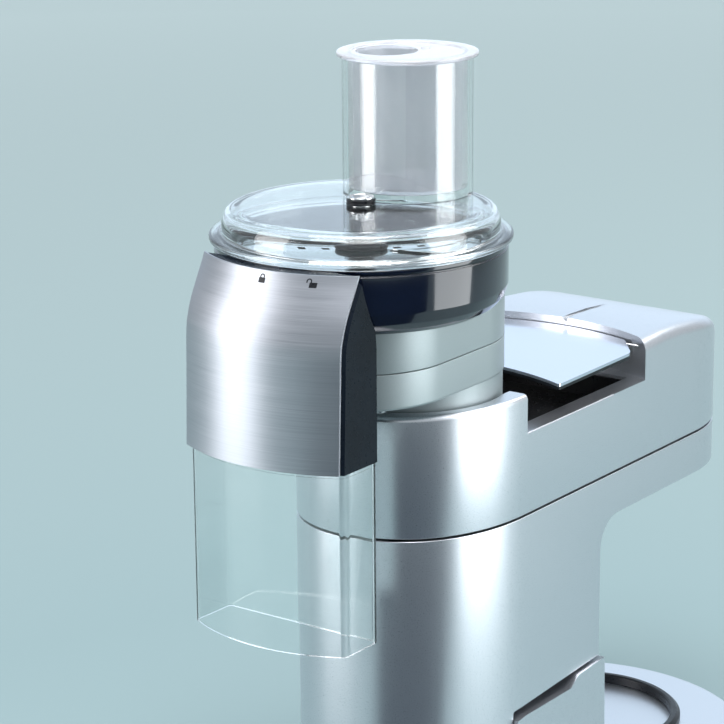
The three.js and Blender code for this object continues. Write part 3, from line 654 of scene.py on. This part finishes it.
def lock_mark(name, centre_x, shackle_shift):
    """A printed padlock a few millimetres tall. Shifting its shackle to one side opens it.

    The steel leans back there, so a height up the sheet is a little less when it is measured upright.
    """
    centre_z = rim(-6.2)
    upright_share = 0.92
    body = [(-2.2, -1.9), (2.2, -1.9), (2.2, 1.3), (-2.2, 1.3)]
    arc = circle((0, 2), 1.6, 0, 180, 12)
    inner = circle((0, 2), 0.9, 180, 0, 12)
    shackle = [(1.6, 1), *arc, (-1.6, 1), (-0.9, 1), *inner, (0.9, 1)]
    pieces = []
    for outline, shift in ((rounded_loop(body, 0.4), 0), (shackle, shackle_shift)):
        rings = []
        for proud in (-0.2, 0.06):
            ring = [on_cover(centre_x + u + shift, centre_z + v * upright_share, proud) for u, v in outline]
            rings.append(ring)
        pieces.append(stacked(name, rings))
    return shade(join(*pieces), 40)


def chute_side(wall, top, bottom):
    """The chute's side outline: an upright back that leans forward round the bowl near the top."""
    back = CHUTE_BACK_Y - wall
    leaning = [(back, rim(-46)), (back - 1, rim(-36)), (back - 6, rim(-27)), (back - 11, rim(-15))]
    return [(-260, bottom), (back, bottom), *leaning, (back - 15.5, top), (-260, top)]


def chute_housing():
    """The shell behind the steel cover, open below, with the bowl's space cut out of its back."""
    top = rim(-1)
    half = CHUTE_HALF_WIDTH
    wall = CHUTE_WALL
    outside = common(
        behind_cover("chute_shell", 1.6, top, CHUTE_BOTTOM),
        across("side", chute_side(0, top, CHUTE_BOTTOM), -half, half),
    )
    inside = common(
        behind_cover("inside", 4, rim(-4), CHUTE_BOTTOM - 1),
        across("side", chute_side(wall, rim(-4), CHUTE_BOTTOM - 1), wall - half, half - wall),
    )
    round_the_bowl = [(radius + GAP, z - GAP) for radius, z in BOWL_PROFILE]
    seat = [(0, BOWL_FLOOR - GAP), *round_the_bowl, (BOWL_R + GAP, rim(1)), (0, rim(1))]
    bowl_space = lathe("bowl_space", seat, BOWL_AXIS, 192)
    return soften(cut(outside, inside, bowl_space), 0.7, segments=3, sharp=35)


GUARD_HALF_WIDTH = 57.5
GUARD_R = 113.2
GUARD_BACK_Y = -194
GUARD_BOTTOM = rim(-230.6)


def rounded_loop(outline, radius, steps=5):
    """A closed outline with its sharp corners rounded. Gentle bends stay as they are."""
    made = []
    count = len(outline)
    for i, corner in enumerate(outline):
        here = Vector(corner)
        before, after = Vector(outline[i - 1]) - here, Vector(outline[(i + 1) % count]) - here
        if before.angle(-after) < math.radians(25):
            made.append(tuple(corner))
            continue
        start, end = (here + side.normalized() * min(radius, 0.9 * side.length) for side in (before, after))
        made += corner_curve(start, here, end, steps)
    return made


def guard_outline(inset, back_y, corner):
    """An arc in front and a straight back, with rounded upright corners."""
    half = GUARD_HALF_WIDTH - inset
    radius = GUARD_R - inset
    edge = math.degrees(math.asin(half / radius))
    front = circle(BOWL_AXIS, radius, -90 - edge, -90 + edge, steps=48)
    return rounded_loop([(-half, back_y), *front, (half, back_y)], corner)


def outlet_guard():
    """A clear tube under the chute, with a lip that reaches up inside it."""
    wall = CHUTE_WALL
    top = CHUTE_BOTTOM - GAP
    tube = cut(
        prism("clear_guard", guard_outline(0, GUARD_BACK_Y, 5), GUARD_BOTTOM, top),
        prism("inner", guard_outline(wall, GUARD_BACK_Y - wall, 2.8), GUARD_BOTTOM - 1, top + 1),
    )
    lip = cut(
        prism("lip", guard_outline(1.3, CHUTE_BACK_Y - 4, 3), top - 3, top + 12),
        prism("lip_inner", guard_outline(wall + 0.6, CHUTE_BACK_Y, 2), top - 4, top + 13),
    )
    return soften(join(tube, lip), 0.5, segments=3, sharp=40)


show(bowl(), "bowl_plastic", "processor", "bowl")
show(chute_housing(), "chute_plastic", "processor", "chute_housing")
show(steel_cover(), "brushed_steel_cover", "processor", "steel_cover")
show(lock_mark("closed_lock_mark", 2.2, 0), "black_plastic", "processor")
show(lock_mark("open_lock_mark", 34.8, -2.6), "black_plastic", "processor")
show(outlet_guard(), "clear_plastic", "processor", "outlet_guard")


# ---- The gear housing under the bowl ----
BASE_R = 60.5
BASE_WALL = 2.6
BASE_SEAM = rim(-70.9)
BASE_BOTTOM = rim(-94)
SPIGOT_R = 59.5
REAR_END = (0, -133)
WELL_FLOOR = 300
CASE_SCREWS = [(-38, -165), (38, -165), (0, -33)]


def base_outline(inset, steps=64):
    """Two half circles joined by straight sides."""
    radius = BASE_R - inset
    return [*circle(REAR_END, radius, 180, 360, steps), *circle(OUTLET_AXIS, radius, 0, 180, steps)]


def quarter(radius, steps=6):
    """How far a rounded edge is drawn in, and how far it is from the top, at each of its steps."""
    angles = (math.pi / 2 * i / steps for i in range(steps + 1))
    return [(radius * (1 - math.cos(a)), radius * (1 - math.sin(a))) for a in angles]


def rounded_prism(name, outline, low, high, top_round=0, bottom_round=0):
    """A raised outline, given as a function of its inset, with its top and bottom edges rounded."""
    rings = []
    for inset, drop in reversed(quarter(bottom_round)) if bottom_round else [(0, 0)]:
        rings.append([(x, y, low + drop) for x, y in outline(inset)])
    for inset, drop in quarter(top_round) if top_round else [(0, 0)]:
        rings.append([(x, y, high - drop) for x, y in outline(inset)])
    return stacked(name, rings)


def at_screws(name, radius, low, high, steps):
    """The same cylinder at each case screw."""
    return [upright(name, radius, low, high, at, steps) for at in CASE_SCREWS]


def base_upper_case():
    """The cover of the gears, with bosses for the two shafts and posts for the screws."""
    top = BOWL_FLOOR - GAP
    shell = cut(
        rounded_prism("upper_gear_case", base_outline, BASE_SEAM + 0.2, top, 2.5, 0.5),
        prism("hollow", base_outline(BASE_WALL), BASE_SEAM - 1, top - 2.8),
    )
    bosses = [upright("boss", 9, rim(-62), top - 2, axis, 48) for axis in (BOWL_AXIS, OUTLET_AXIS)]
    posts = at_screws("post", 4.5, BASE_SEAM + 1, top - 2, 32)
    made = cut(
        join(shell, *bosses, *posts),
        upright("spindle_bore", 5.3, rim(-63), rim(-40), BOWL_AXIS, 48),
        upright("pinion_bore", 4.3, rim(-63), rim(-46.7), OUTLET_AXIS, 32),
        *at_screws("screw_hole", 2.3, BASE_SEAM, rim(-56), 24),
    )
    return shade(made, 32)


def base_lower_case():
    """The tray of the gears, with the round spigot under it that stands in the machine's outlet."""
    floor = BASE_BOTTOM + 2.5
    shell = cut(
        rounded_prism("lower_gear_case", base_outline, BASE_BOTTOM, BASE_SEAM - 0.2, 0.5, 2.2),
        prism("hollow", base_outline(BASE_WALL), floor, BASE_SEAM + 1),
    )
    sleeve = [
        (53.5, WELL_FLOOR + GAP),
        (57, WELL_FLOOR + GAP),
        (57, rim(-112)),
        (SPIGOT_R, rim(-112)),
        (SPIGOT_R, BASE_BOTTOM + 1),
        (SPIGOT_R - 3, BASE_BOTTOM + 1),
        (SPIGOT_R - 3, rim(-109)),
        (53.5, rim(-109)),
    ]
    spigot = lathe("spigot", sleeve, OUTLET_AXIS, 160)
    bearing = cut(
        upright("bearing", 10, floor - 1, rim(-87.6), BOWL_AXIS, 48),
        upright("bearing_bore", 5.5, floor - 2, rim(-87), BOWL_AXIS, 48),
    )
    posts = at_screws("post", 4.5, floor - 1, BASE_SEAM - 0.2, 32)
    made = cut(
        join(shell, spigot, bearing, *posts),
        upright("pinion_bore", 4.5, rim(-96), rim(-90), OUTLET_AXIS, 32),
        *at_screws("screw_hole", 2.3, rim(-96), BASE_SEAM + 1, 24),
    )
    return shade(made, 32)


show(base_upper_case(), "silver_plastic", "processor", "base_upper_case")
show(base_lower_case(), "silver_plastic", "processor", "base_lower_case")


# ---- The machine's tilting head ----
HEAD_HALF_WIDTH = 74.5
HEAD_REAR_CENTRE = -57
HEAD_REAR_DEPTH = 96
HEAD_FRONT_CENTRE = 160
HEAD_FRONT_DEPTH = 80
HEAD_WALL = 3.2
HEAD_TOP = 342
HEAD_SEAM = 262.5
SEAM_HALF_GAP = 0.8
LEDGE_Z = 316.8
COLLAR_END_Y = -56.5
WELL_R = 61
ARM_UNDERSIDE = 233
COLUMN_FRONT_Y = 35
TILT_AXIS = (-115, 136)
TILT_R = 45.5
PLANETARY_AXIS = (0, 140)
TOOL_AXIS = (0, PLANETARY_AXIS[1] + 16)
FLAP_HINGE = (95, 338)
FLAP_ARC_R = 157.5
FLAP_ARC_CENTRE = (0, 107 - FLAP_ARC_R)
SLOW_OUTLET = (0, 285)
SLOW_HINGE = (244, 311)
FULLNESS = 2 / 2.2
CROWN_SHOULDER = 9
CROWN_INSETS = (20, 28, 37, 46, 55, 63, 69, 72.5)
CROWN_DEEPEST = 73.8
CROWN_POINTS = [(40, 341), (75, 343.6), (100, 345), (135, 345.5), (188, 339), (222, 325), (240, 300)]
PAST_SIDES = 90


def head_outline(inset, flare=0, steps=56):
    """A full rear end and a rounded nose joined by straight sides."""
    made = []
    ends = ((HEAD_REAR_CENTRE, HEAD_REAR_DEPTH, 180), (HEAD_FRONT_CENTRE, HEAD_FRONT_DEPTH, 0))
    for centre_y, depth, start in ends:
        for i in range(steps + 1):
            angle = math.radians(start + 180 * i / steps)
            c, s = (math.copysign(abs(v) ** FULLNESS, v) for v in (math.cos(angle), math.sin(angle)))
            made.append(((HEAD_HALF_WIDTH + flare - inset) * c, centre_y + (depth + flare - inset) * s))
    return made


CROWN_CURVE = smooth_profile(CROWN_POINTS, 8)


def crown_height(y):
    """The height of the crown's ridge at one place along the head."""
    y = min(max(y, CROWN_CURVE[0][0]), CROWN_CURVE[-1][0])
    for (y0, z0), (y1, z1) in zip(CROWN_CURVE, CROWN_CURVE[1:]):
        if y <= y1:
            return z0 + (z1 - z0) * (y - y0) / (y1 - y0)
    return CROWN_CURVE[-1][1]


def long_sided(outline, steps=10):
    """The head's outline with more points along its straight sides, so that a crown can bend there."""
    half = len(outline) // 2
    made = []
    for end, following in ((outline[:half], outline[half]), (outline[half:], outline[0])):
        here, there = Vector(end[-1]), Vector(following)
        made += [*end, *(tuple(here.lerp(there, i / steps)) for i in range(1, steps))]
    return made


def crowned_head(name, inset, bottom):
    """The whole head under its crown, with soft shoulders, drawn in by an inset."""
    rings = [[(x, y, bottom) for x, y in long_sided(head_outline(inset))]]
    shoulder = quarter(CROWN_SHOULDER, 8)
    for drawn_in, drop in [*shoulder, *((further, 0) for further in CROWN_INSETS)]:
        outline = long_sided(head_outline(min(drawn_in + inset, CROWN_DEEPEST)))
        rings.append([(x, y, crown_height(y) - drop - inset) for x, y in outline])
    return stacked(name, rings)


def head_cover():
    """The collar behind, the low sides and the crown in front, as one shell round the outlet's cut-out."""
    bottom = HEAD_SEAM + SEAM_HALF_GAP
    half = PAST_SIDES
    sides = rounded_prism("sides", head_outline, bottom, LEDGE_Z, 1.2, 0.5)
    collar = common(
        rounded_prism("painted_head_cover", head_outline, bottom, HEAD_TOP, 3.5, 0.5),
        block("rear", -half, half, -160, COLLAR_END_Y, bottom - 1, HEAD_TOP + 1),
    )
    crown = cut(
        common(crowned_head("crown", 0, bottom), block("front", -half, half, 50, 250, bottom + 0.6, 350)),
        upright("flap_space", FLAP_ARC_R + 1.5, LEDGE_Z, 352, FLAP_ARC_CENTRE, 360),
    )
    low = prism("under", head_outline(HEAD_WALL), bottom - 1, LEDGE_Z - HEAD_WALL)
    under_collar = common(
        prism("under_collar", head_outline(HEAD_WALL), bottom - 1, HEAD_TOP - HEAD_WALL),
        block("rear", -half, half, -160, COLLAR_END_Y - 3, bottom - 2, HEAD_TOP),
    )
    under_crown = cut(
        common(
            crowned_head("under_crown", HEAD_WALL, bottom - 1),
            block("front", -half, half, 50, 250, 200, 350),
        ),
        upright("flap_space", FLAP_ARC_R + 5, LEDGE_Z - 10, 352, FLAP_ARC_CENTRE, 360),
    )
    liner = join(
        upright("liner", WELL_R + 3, bottom - 2, 350, OUTLET_AXIS, 160),
        block("liner_front", -WELL_R - 3, WELL_R + 3, OUTLET_AXIS[1], 92, bottom - 2, 350),
    )
    liner = common(liner, block("above_floor", -half, half, -160, 95, WELL_FLOOR - 5, 350))
    well = lathe("well", well_profile(bottom - 2), OUTLET_AXIS, 160)
    well = join(well, block("well_front", -WELL_R, WELL_R, OUTLET_AXIS[1], 89, bottom - 2, 350))
    made = cut(
        join(collar, sides, crown),
        cut(join(low, under_collar), liner),
        under_crown,
        well,
        lengthways("outlet_hole", 20, 225, 250, SLOW_OUTLET),
    )
    made = cut(made, sideways("pin_hole", 1.3, -71, 71, FLAP_HINGE, 24))
    return soften(made, 0.6, segments=2, sharp=32)


def well_profile(bottom):
    """The cut-out's bore, with a rounded lip at the collar's top."""
    lip = 2.5
    flare = [(WELL_R + inset, HEAD_TOP - drop) for inset, drop in quarter(lip)]
    return [(0, bottom), (WELL_R, bottom), *flare, (WELL_R + lip, 350), (0, 350)]


def lower_side(inset):
    """The side outline of the head below its seam. Its rear turns in the pedestal's round seat."""
    y = TILT_AXIS[0]
    r = TILT_R - inset
    return [
        (-160, HEAD_SEAM),
        (-160, TILT_AXIS[1] - 22),
        *circle(TILT_AXIS, r, -147, -5, 48),
        (y + r + 2, TILT_AXIS[1] - 3.5 + inset),
        (COLUMN_FRONT_Y - inset, 138 + inset),
        *circle((COLUMN_FRONT_Y + 22, ARM_UNDERSIDE - 22), 22 + inset, 180, 90, 14),
        (250, ARM_UNDERSIDE + inset),
        (250, HEAD_SEAM),
    ]


def head_lower_case():
    """The head's lower shell, with bosses for the tilt pin and a hole for the planetary hub."""
    top = HEAD_SEAM - SEAM_HALF_GAP
    outside = common(
        rounded_prism("painted_lower_case", head_outline, 80, top, 0.5),
        across("side", lower_side(0), -PAST_SIDES, PAST_SIDES),
    )
    inside = common(
        prism("inside", head_outline(HEAD_WALL), 80, top + 1),
        across("side", lower_side(HEAD_WALL), -PAST_SIDES, PAST_SIDES),
    )
    y, z = TILT_AXIS
    slot = across("ear_slot", [(y, z), *circle(TILT_AXIS, 60, -144, -77, 12)], -14.5, 14.5)
    bosses = []
    for x0, x1 in ((15, 32), (-32, -15)):
        bosses.append(sideways("boss", 10, x0, x1, TILT_AXIS, 48))
        bosses.append(block("web", x0, x1, y - 8, y + 8, z - 43.5, z))
    made = cut(
        join(cut(outside, inside, slot), *bosses),
        sideways("pin_hole", 4.4, -40, 40, TILT_AXIS, 32),
        upright("planetary_hole", 30, ARM_UNDERSIDE - 5, ARM_UNDERSIDE + 8, PLANETARY_AXIS, 128),
    )
    return soften(made, 0.8, segments=3, sharp=32)


def outlet_well():
    """The black tray in the cut-out: full height inside the collar, low beside the ledge."""
    def plan(inset, low, high):
        half = WELL_R - GAP - inset
        return join(
            upright("tray", half, low, high, OUTLET_AXIS, 160),
            block("tray_front", -half, half, OUTLET_AXIS[1], 88.5 - inset, low, high),
        )

    tray = cut(plan(0, WELL_FLOOR - 2.5, 335), plan(1.8, WELL_FLOOR, 336))
    above_ledge = block("above_ledge", -80, 80, COLLAR_END_Y - 4, 100, LEDGE_Z - 2, 340)
    made = cut(tray, above_ledge, upright("dog_hole", 15, 290, 310, OUTLET_AXIS, 96))
    made.name = "black_tray"
    return soften(made, 0.4, segments=2, sharp=32)


def flap_layer(name, low, high):
    """A layer of a plate with a hollow rear edge and a round front edge, between heights from its hinge."""
    rear = circle((0, -180.5), 177, 65, 115, 72)
    front = circle(FLAP_ARC_CENTRE, FLAP_ARC_R, 110, 70, 64)
    z = FLAP_HINGE[1]
    outline = rounded_loop([*rear, (-73.5, 72), *front, (73.5, 72)], 4)
    plate = prism(name, outline, z + low, z + high)
    made = cut(plate, sideways("pin_hole", 1.3, -60, 60, FLAP_HINGE, 24))
    return soften(made, 0.5, segments=3, sharp=35)


show(head_cover(), "silver_case", "head", "head_cover")
show(head_lower_case(), "silver_case", "head", "head_lower_case")
show(outlet_well(), "black_plastic", "head", "outlet_well")
show(flap_layer("silver_flap", 0, 2), "flap_silver", "flap", "outlet_flap")
show(flap_layer("flap_liner", -2, -0.05), "black_plastic", "flap")


# ---- The pedestal, its foot and its controls ----
PEDESTAL_FLARE = 3
FOOT_TOP = 40
FOOT_HALF_WIDTH = 120
FOOT_FRONT_Y = 247.5
FOOT_REAR_Y = -190
FOOT_SIDE = 105
FOOT_CORNER = 40
KNOB_AXIS = (-35, 80)
LEVER_AXIS = (8, 60)
GLAND_AXIS = (0, 24)
COLUMN_FILLET = 16
PAST_FOOT = 130


def foot_outline(inset):
    """The foot's plan: a half ellipse in front, straight sides and two round rear corners."""
    side = FOOT_SIDE - inset
    inner = FOOT_SIDE - FOOT_CORNER
    rear = FOOT_REAR_Y + FOOT_CORNER
    across_front = FOOT_HALF_WIDTH - inset
    depth = FOOT_FRONT_Y - PLANETARY_AXIS[1] - inset
    front = [(across_front * c, PLANETARY_AXIS[1] + depth * s) for c, s in circle((0, 0), 1, 0, 180, 72)]
    return [
        *front,
        (-side, -20),
        *circle((-inner, rear), FOOT_CORNER - inset, 180, 270, 20),
        *circle((inner, rear), FOOT_CORNER - inset, 270, 360, 20),
        (side, -20),
    ]


def column_side(inset):
    """The column's side outline: the head's round seat on top, and a soft run into the foot in front."""
    y = TILT_AXIS[0]
    r = TILT_R + 1.5 + inset
    front = COLUMN_FRONT_Y + 5 - inset
    fillet = circle((front + COLUMN_FILLET, FOOT_TOP + COLUMN_FILLET), COLUMN_FILLET, 180, 270, 10)
    return [
        (-200, 8),
        (-200, 113 - inset),
        *circle(TILT_AXIS, r, -151, -12, 56),
        (y + r + 8, 127.5 - inset),
        (-5, 127.5 - inset),
        (5, 134 - inset),
        (front - 2, 136 - inset),
        *fillet,
        (front + COLUMN_FILLET, 8),
    ]


def column(name, inset, low, high):
    """The column with a fillet all round where it runs into the foot."""
    rings = [[(x, y, low) for x, y in head_outline(inset, PEDESTAL_FLARE + COLUMN_FILLET)]]
    for drawn_in, drop in reversed(quarter(COLUMN_FILLET, 8)):
        flare = PEDESTAL_FLARE + COLUMN_FILLET - drop
        rings.append([(x, y, FOOT_TOP + drawn_in) for x, y in head_outline(inset, flare)])
    rings.append([(x, y, high) for x, y in head_outline(inset, PEDESTAL_FLARE)])
    return common(stacked(name, rings), across("side", column_side(inset), -PAST_FOOT, PAST_FOOT))


def pedestal():
    """The column and its foot as one hollow casting, with the ear that the head tilts on."""
    outside = column("painted_pedestal", 0, FOOT_TOP - 3, 140)
    side = [(min(y, COLUMN_FRONT_Y + 2), z) for y, z in column_side(HEAD_WALL)]
    hollow = common(
        prism("hollow", head_outline(HEAD_WALL, PEDESTAL_FLARE), FOOT_TOP - 5, 140),
        across("side", side, -PAST_FOOT, PAST_FOOT),
    )
    foot = cut(
        rounded_prism("foot", foot_outline, 8, FOOT_TOP, 7, 1.2),
        prism("foot_hollow", foot_outline(4), 7, FOOT_TOP - 7),
    )
    y, z = TILT_AXIS
    ear = join(block("ear", -13, 13, y - 7, y + 7, 82, z), sideways("ear_eye", 9, -13, 13, TILT_AXIS, 48))
    made = cut(
        join(cut(join(outside, foot), hollow), ear),
        sideways("tilt_bore", 4.4, -20, 20, TILT_AXIS, 32),
        sideways("knob_bore", 3.6, -95, -65, KNOB_AXIS, 32),
        sideways("lever_bore", 3.6, -95, -65, LEVER_AXIS, 32),
        lengthways("gland_bore", 6.4, FOOT_REAR_Y - 5, FOOT_REAR_Y + 8, GLAND_AXIS, 32),
    )
    return soften(made, 0.8, segments=3, sharp=34)


def speed_knob():
    """A round knob with a fluted edge and a raised bar to turn it by."""
    y, z = KNOB_AXIS
    flutes = 36
    rings = []
    for x, radius in ((-80, 21.4), (-80.8, 22), (-93.2, 22), (-95, 20.4)):
        outline = []
        for i in range(flutes * 6):
            angle = 2 * math.pi * i / (flutes * 6)
            around = radius - 0.45 * (0.5 + 0.5 * math.cos(angle * flutes))
            outline.append((x, y + around * math.cos(angle), z + around * math.sin(angle)))
        rings.append(outline)
    bar = block("bar", -99, -94, y - 3.4, y + 3.4, z - 19, z + 19)
    shaft = sideways("shaft", 3.2, -81, -58, KNOB_AXIS, 32)
    return soften(join(stacked("fluted_knob", rings), bar, shaft), 0.5, segments=2, sharp=40)


def release_lever():
    """A tapered thumb lever on a round hub, with its shaft into the pedestal."""
    y, z = LEVER_AXIS
    hub = sideways("head_release", 8, -86, -80, LEVER_AXIS)
    thumb = across("thumb", [(y - 5.5, z), (y + 5.5, z), (y + 4.2, z + 36), (y - 4.2, z + 36)], -86, -81)
    shaft = sideways("shaft", 3.2, -81, -66, LEVER_AXIS, 32)
    return soften(join(hub, thumb, shaft), 1.2, segments=4, sharp=40)


def rubber_foot(name, x, y):
    """A round pad with a softened lower edge."""
    profile = rounded([(0, 0), (10.6, 0), (12, 1.2), (12, 4.7), (0, 4.7)], 0.7)
    return shade(lathe(name, profile, (x, y), 64), 40)


def bowl_seat():
    """A ring on the foot that a mixing bowl would stand in."""
    low = FOOT_TOP + GAP
    profile = [(63, low), (70, low), (70, low + 4.4), (67.4, low + 6.7), (64.4, low + 6.7), (63, low + 5.6)]
    return soften(lathe("seat_ring", profile, PLANETARY_AXIS, 160), 0.5, segments=3, sharp=30)


def base_plate():
    """The plate that closes the foot from below."""
    return soften(prism("floor_plate", foot_outline(0.5), 5, 7.7), 0.5, segments=2)


def cord_gland():
    """The grommet in the foot's rear wall, with a flange outside and a neck through it."""
    flange = lengthways("gland_flange", 9, FOOT_REAR_Y - 3.5, FOOT_REAR_Y - GAP, GLAND_AXIS, 64)
    made = join(flange, lengthways("neck", 6, FOOT_REAR_Y - 1, FOOT_REAR_Y + 9, GLAND_AXIS, 48))
    made.name = "rubber_gland"
    return soften(made, 0.7, segments=3, sharp=40)


def slow_outlet_cover():
    """A shallow domed lid over the nose outlet, with its hinge barrel on top."""
    rings = []
    for y, radius in ((241, 22.4), (241.5, 23), (243.2, 23), (244.1, 22), (244.5, 19)):
        rings.append([(x, y, z) for x, z in circle(SLOW_OUTLET, radius, steps=96)])
    hinge_z = SLOW_HINGE[1]
    tab = block("hinge_tab", -8, 8, 241, 244.5, hinge_z - 6, hinge_z)
    made = join(stacked("nose_cover", rings), tab, sideways("barrel", 2.5, -8, 8, SLOW_HINGE, 32))
    made = cut(made, sideways("barrel_bore", 1.3, -9, 9, SLOW_HINGE, 24))
    return soften(made, 0.4, segments=2, sharp=40)


def planet_carrier():
    """The round hub under the head, with its shaft up into the gearbox."""
    stem = rounded([(0, 207), (26, 207), (28, 209), (28, 231), (5, 231), (5, 290.5), (0, 290.5)], 1)
    socket_bore = upright("socket_bore", 4.5, 206, 225, TOOL_AXIS, 32)
    return shade(cut(lathe("planetary_hub", stem, PLANETARY_AXIS, 128), socket_bore), 34)


def tool_socket():
    """The slotted sleeve that holds a mixing tool, off the hub's middle."""
    x, y = TOOL_AXIS
    foot = [(0, 186), (7.4, 186), (8, 186.6), (8, 205.6), (7, 206.7)]
    stem = rounded([*foot, (4.1, 206.7), (4.1, 224), (0, 224)], 0.4)
    made = cut(
        lathe("tool_holder", stem, TOOL_AXIS, 64),
        upright("bore", 5, 185, 201, TOOL_AXIS, 48),
        block("slot", x - 1.8, x + 1.8, y - 12, y + 12, 185, 196),
    )
    return shade(made, 34)


show(pedestal(), "silver_case", "base", "pedestal")
show(bowl_seat(), "black_plastic", "base", "bowl_seat")
show(base_plate(), "black_plastic", "base", "base_plate")
for corner in ("rear_left", "rear_right", "front_left", "front_right"):
    node = f"rubber_foot_{corner}"
    centre = sum(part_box(node), Vector()) / 2 / MM
    show(rubber_foot(f"foot_pad_{corner}", centre.x, centre.y), "rubber", "base", node)
show(speed_knob(), "black_plastic", "knob", "speed_knob")
show(release_lever(), "black_plastic", "lever", "release_lever")
show(cord_gland(), "rubber", "base", "cord_gland")
show(slow_outlet_cover(), "silver_plastic", "slow_cover", "slow_outlet_cover")
show(planet_carrier(), "aluminium", "planetary", "planet_carrier")
show(tool_socket(), "steel", "tool", "tool_socket")


def finish_inner_nodes():
    """The CAD nodes that still show get rounded edges and smooth shading."""
    for node in frame["nodes"].values():
        if node.hide_render:
            continue
        for face in node.data.polygons:
            face.use_smooth = True
        weld = node.modifiers.new("weld", "WELD")
        weld.merge_threshold = 0.01 * MM
        bevel = node.modifiers.new("soften", "BEVEL")
        bevel.width = 0.25 * MM
        bevel.segments = 2
        bevel.limit_method = "ANGLE"
        bevel.angle_limit = math.radians(36)
        bevel.harden_normals = True


finish_inner_nodes()


# ---- Floor, light and size ----
FLOOR_REACH = 9000
FLOOR_SHADE_FADE = 4.5
# azimuths in degrees and distances in millimetres
RUNNER_CORNERS = ((-88, 150), (-86, 2100), (-64, 1700), (-58, 4500), (-4, 4500), (-28, 450))
OBJECT_MIDDLE = (0, -0.08, 0.36)
BRIGHT_WALL = (-0.57, 0.76, 0.31)


def floor():
    """A wide pale floor with painted shade: its colour is darker round the object than far from it."""
    reach = FLOOR_REACH
    made = block("floor", -reach, reach, -reach, reach, -20, 0)
    paint, tree, shader = principled("floor_painted_shade", Roughness=0.6)
    distance = object_texture(tree, "ShaderNodeTexGradient", [1 / FLOOR_SHADE_FADE] * 3)
    distance.gradient_type = "SPHERICAL"
    # painted shade: the floor's colour runs from pale far off to dark round the object
    tinted(tree, shader, distance.outputs["Fac"], (0.70, 0.82, 0.79), (0.26, 0.36, 0.37), 0.11, 0.89)
    made.data.materials.append(paint)


def softbox(name, azimuth, height, distance, width, tall, power, colour=(1, 1, 1), gloss_only=False):
    """An area light round the object, facing its middle. Azimuth 0 stands at +X and 90 at +Y.

    Places and sizes are in metres. A light for gloss only shows in reflections and doesn't light the floor.
    """
    data = bpy.data.lights.new(name, "AREA")
    data.shape = "RECTANGLE"
    data.size = width
    data.size_y = tall
    data.energy = power
    data.color = colour
    light = bpy.data.objects.new(name, data)
    angle = math.radians(azimuth)
    light.location = (distance * math.cos(angle), distance * math.sin(angle), height)
    towards = Vector(OBJECT_MIDDLE) - light.location
    light.rotation_mode = "QUATERNION"
    light.rotation_quaternion = towards.to_track_quat("-Z", "Y")
    light.visible_camera = False
    light.visible_diffuse = not gloss_only
    SCENE.collection.objects.link(light)


def dark_runner():
    """A dark cloth on the floor, seen only in glossy reflections, which gives bright metal its dark band."""
    corners = []
    for azimuth, distance in RUNNER_CORNERS:
        angle = math.radians(azimuth)
        corners.append((distance * math.cos(angle), distance * math.sin(angle)))
    strip = prism("dark_runner", corners, 1, 4)
    cloth, tree, shader = principled("runner_cloth", Roughness=1.0, Specular_IOR_Level=0.0)
    tinted(tree, shader, noise(tree, 5), (0.03, 0.045, 0.06), (0.04, 0.055, 0.07))
    strip.data.materials.append(cloth)
    strip.visible_camera = False
    strip.visible_diffuse = False
    strip.visible_transmission = False
    strip.visible_shadow = False


def world():
    """A dim studio with one bright pale wall far behind the machine, on its left."""
    sky = bpy.data.worlds.new("studio")
    sky.use_nodes = True
    tree = sky.node_tree
    direction = tree.nodes.new("ShaderNodeTexCoord")
    nearness = tree.nodes.new("ShaderNodeVectorMath")
    nearness.operation = "DOT_PRODUCT"
    nearness.inputs[1].default_value = Vector(BRIGHT_WALL).normalized()
    colour = ramped(tree, nearness.outputs["Value"], (0.40, 0.43, 0.45), (0.70, 0.84, 0.98), 0.6, 0.95)
    back = tree.nodes["Background"]
    back.inputs["Strength"].default_value = 1.3
    tree.links.new(direction.outputs["Generated"], nearness.inputs[0])
    tree.links.new(colour, back.inputs["Color"])
    SCENE.world = sky


floor()
world()
dark_runner()
softbox("left_box", -128, 0.58, 1.19, width=0.6, tall=1.2, power=9, colour=(1, 0.98, 0.98), gloss_only=True)
softbox("right_box", 11, 0.58, 0.88, width=0.62, tall=1.2, power=9.5, colour=(0.95, 0.98, 1), gloss_only=True)
softbox("top_box", -80, 2.2, 0.5, width=1.4, tall=1.4, power=28)
softbox("front_box", -54, 2.6, 1.2, width=1.2, tall=1.2, power=30, colour=(0.98, 0.97, 1))
softbox("side_box", 60, 2.3, 1.7, width=1.4, tall=1.4, power=24)
SCENE.view_settings.view_transform = "Standard"
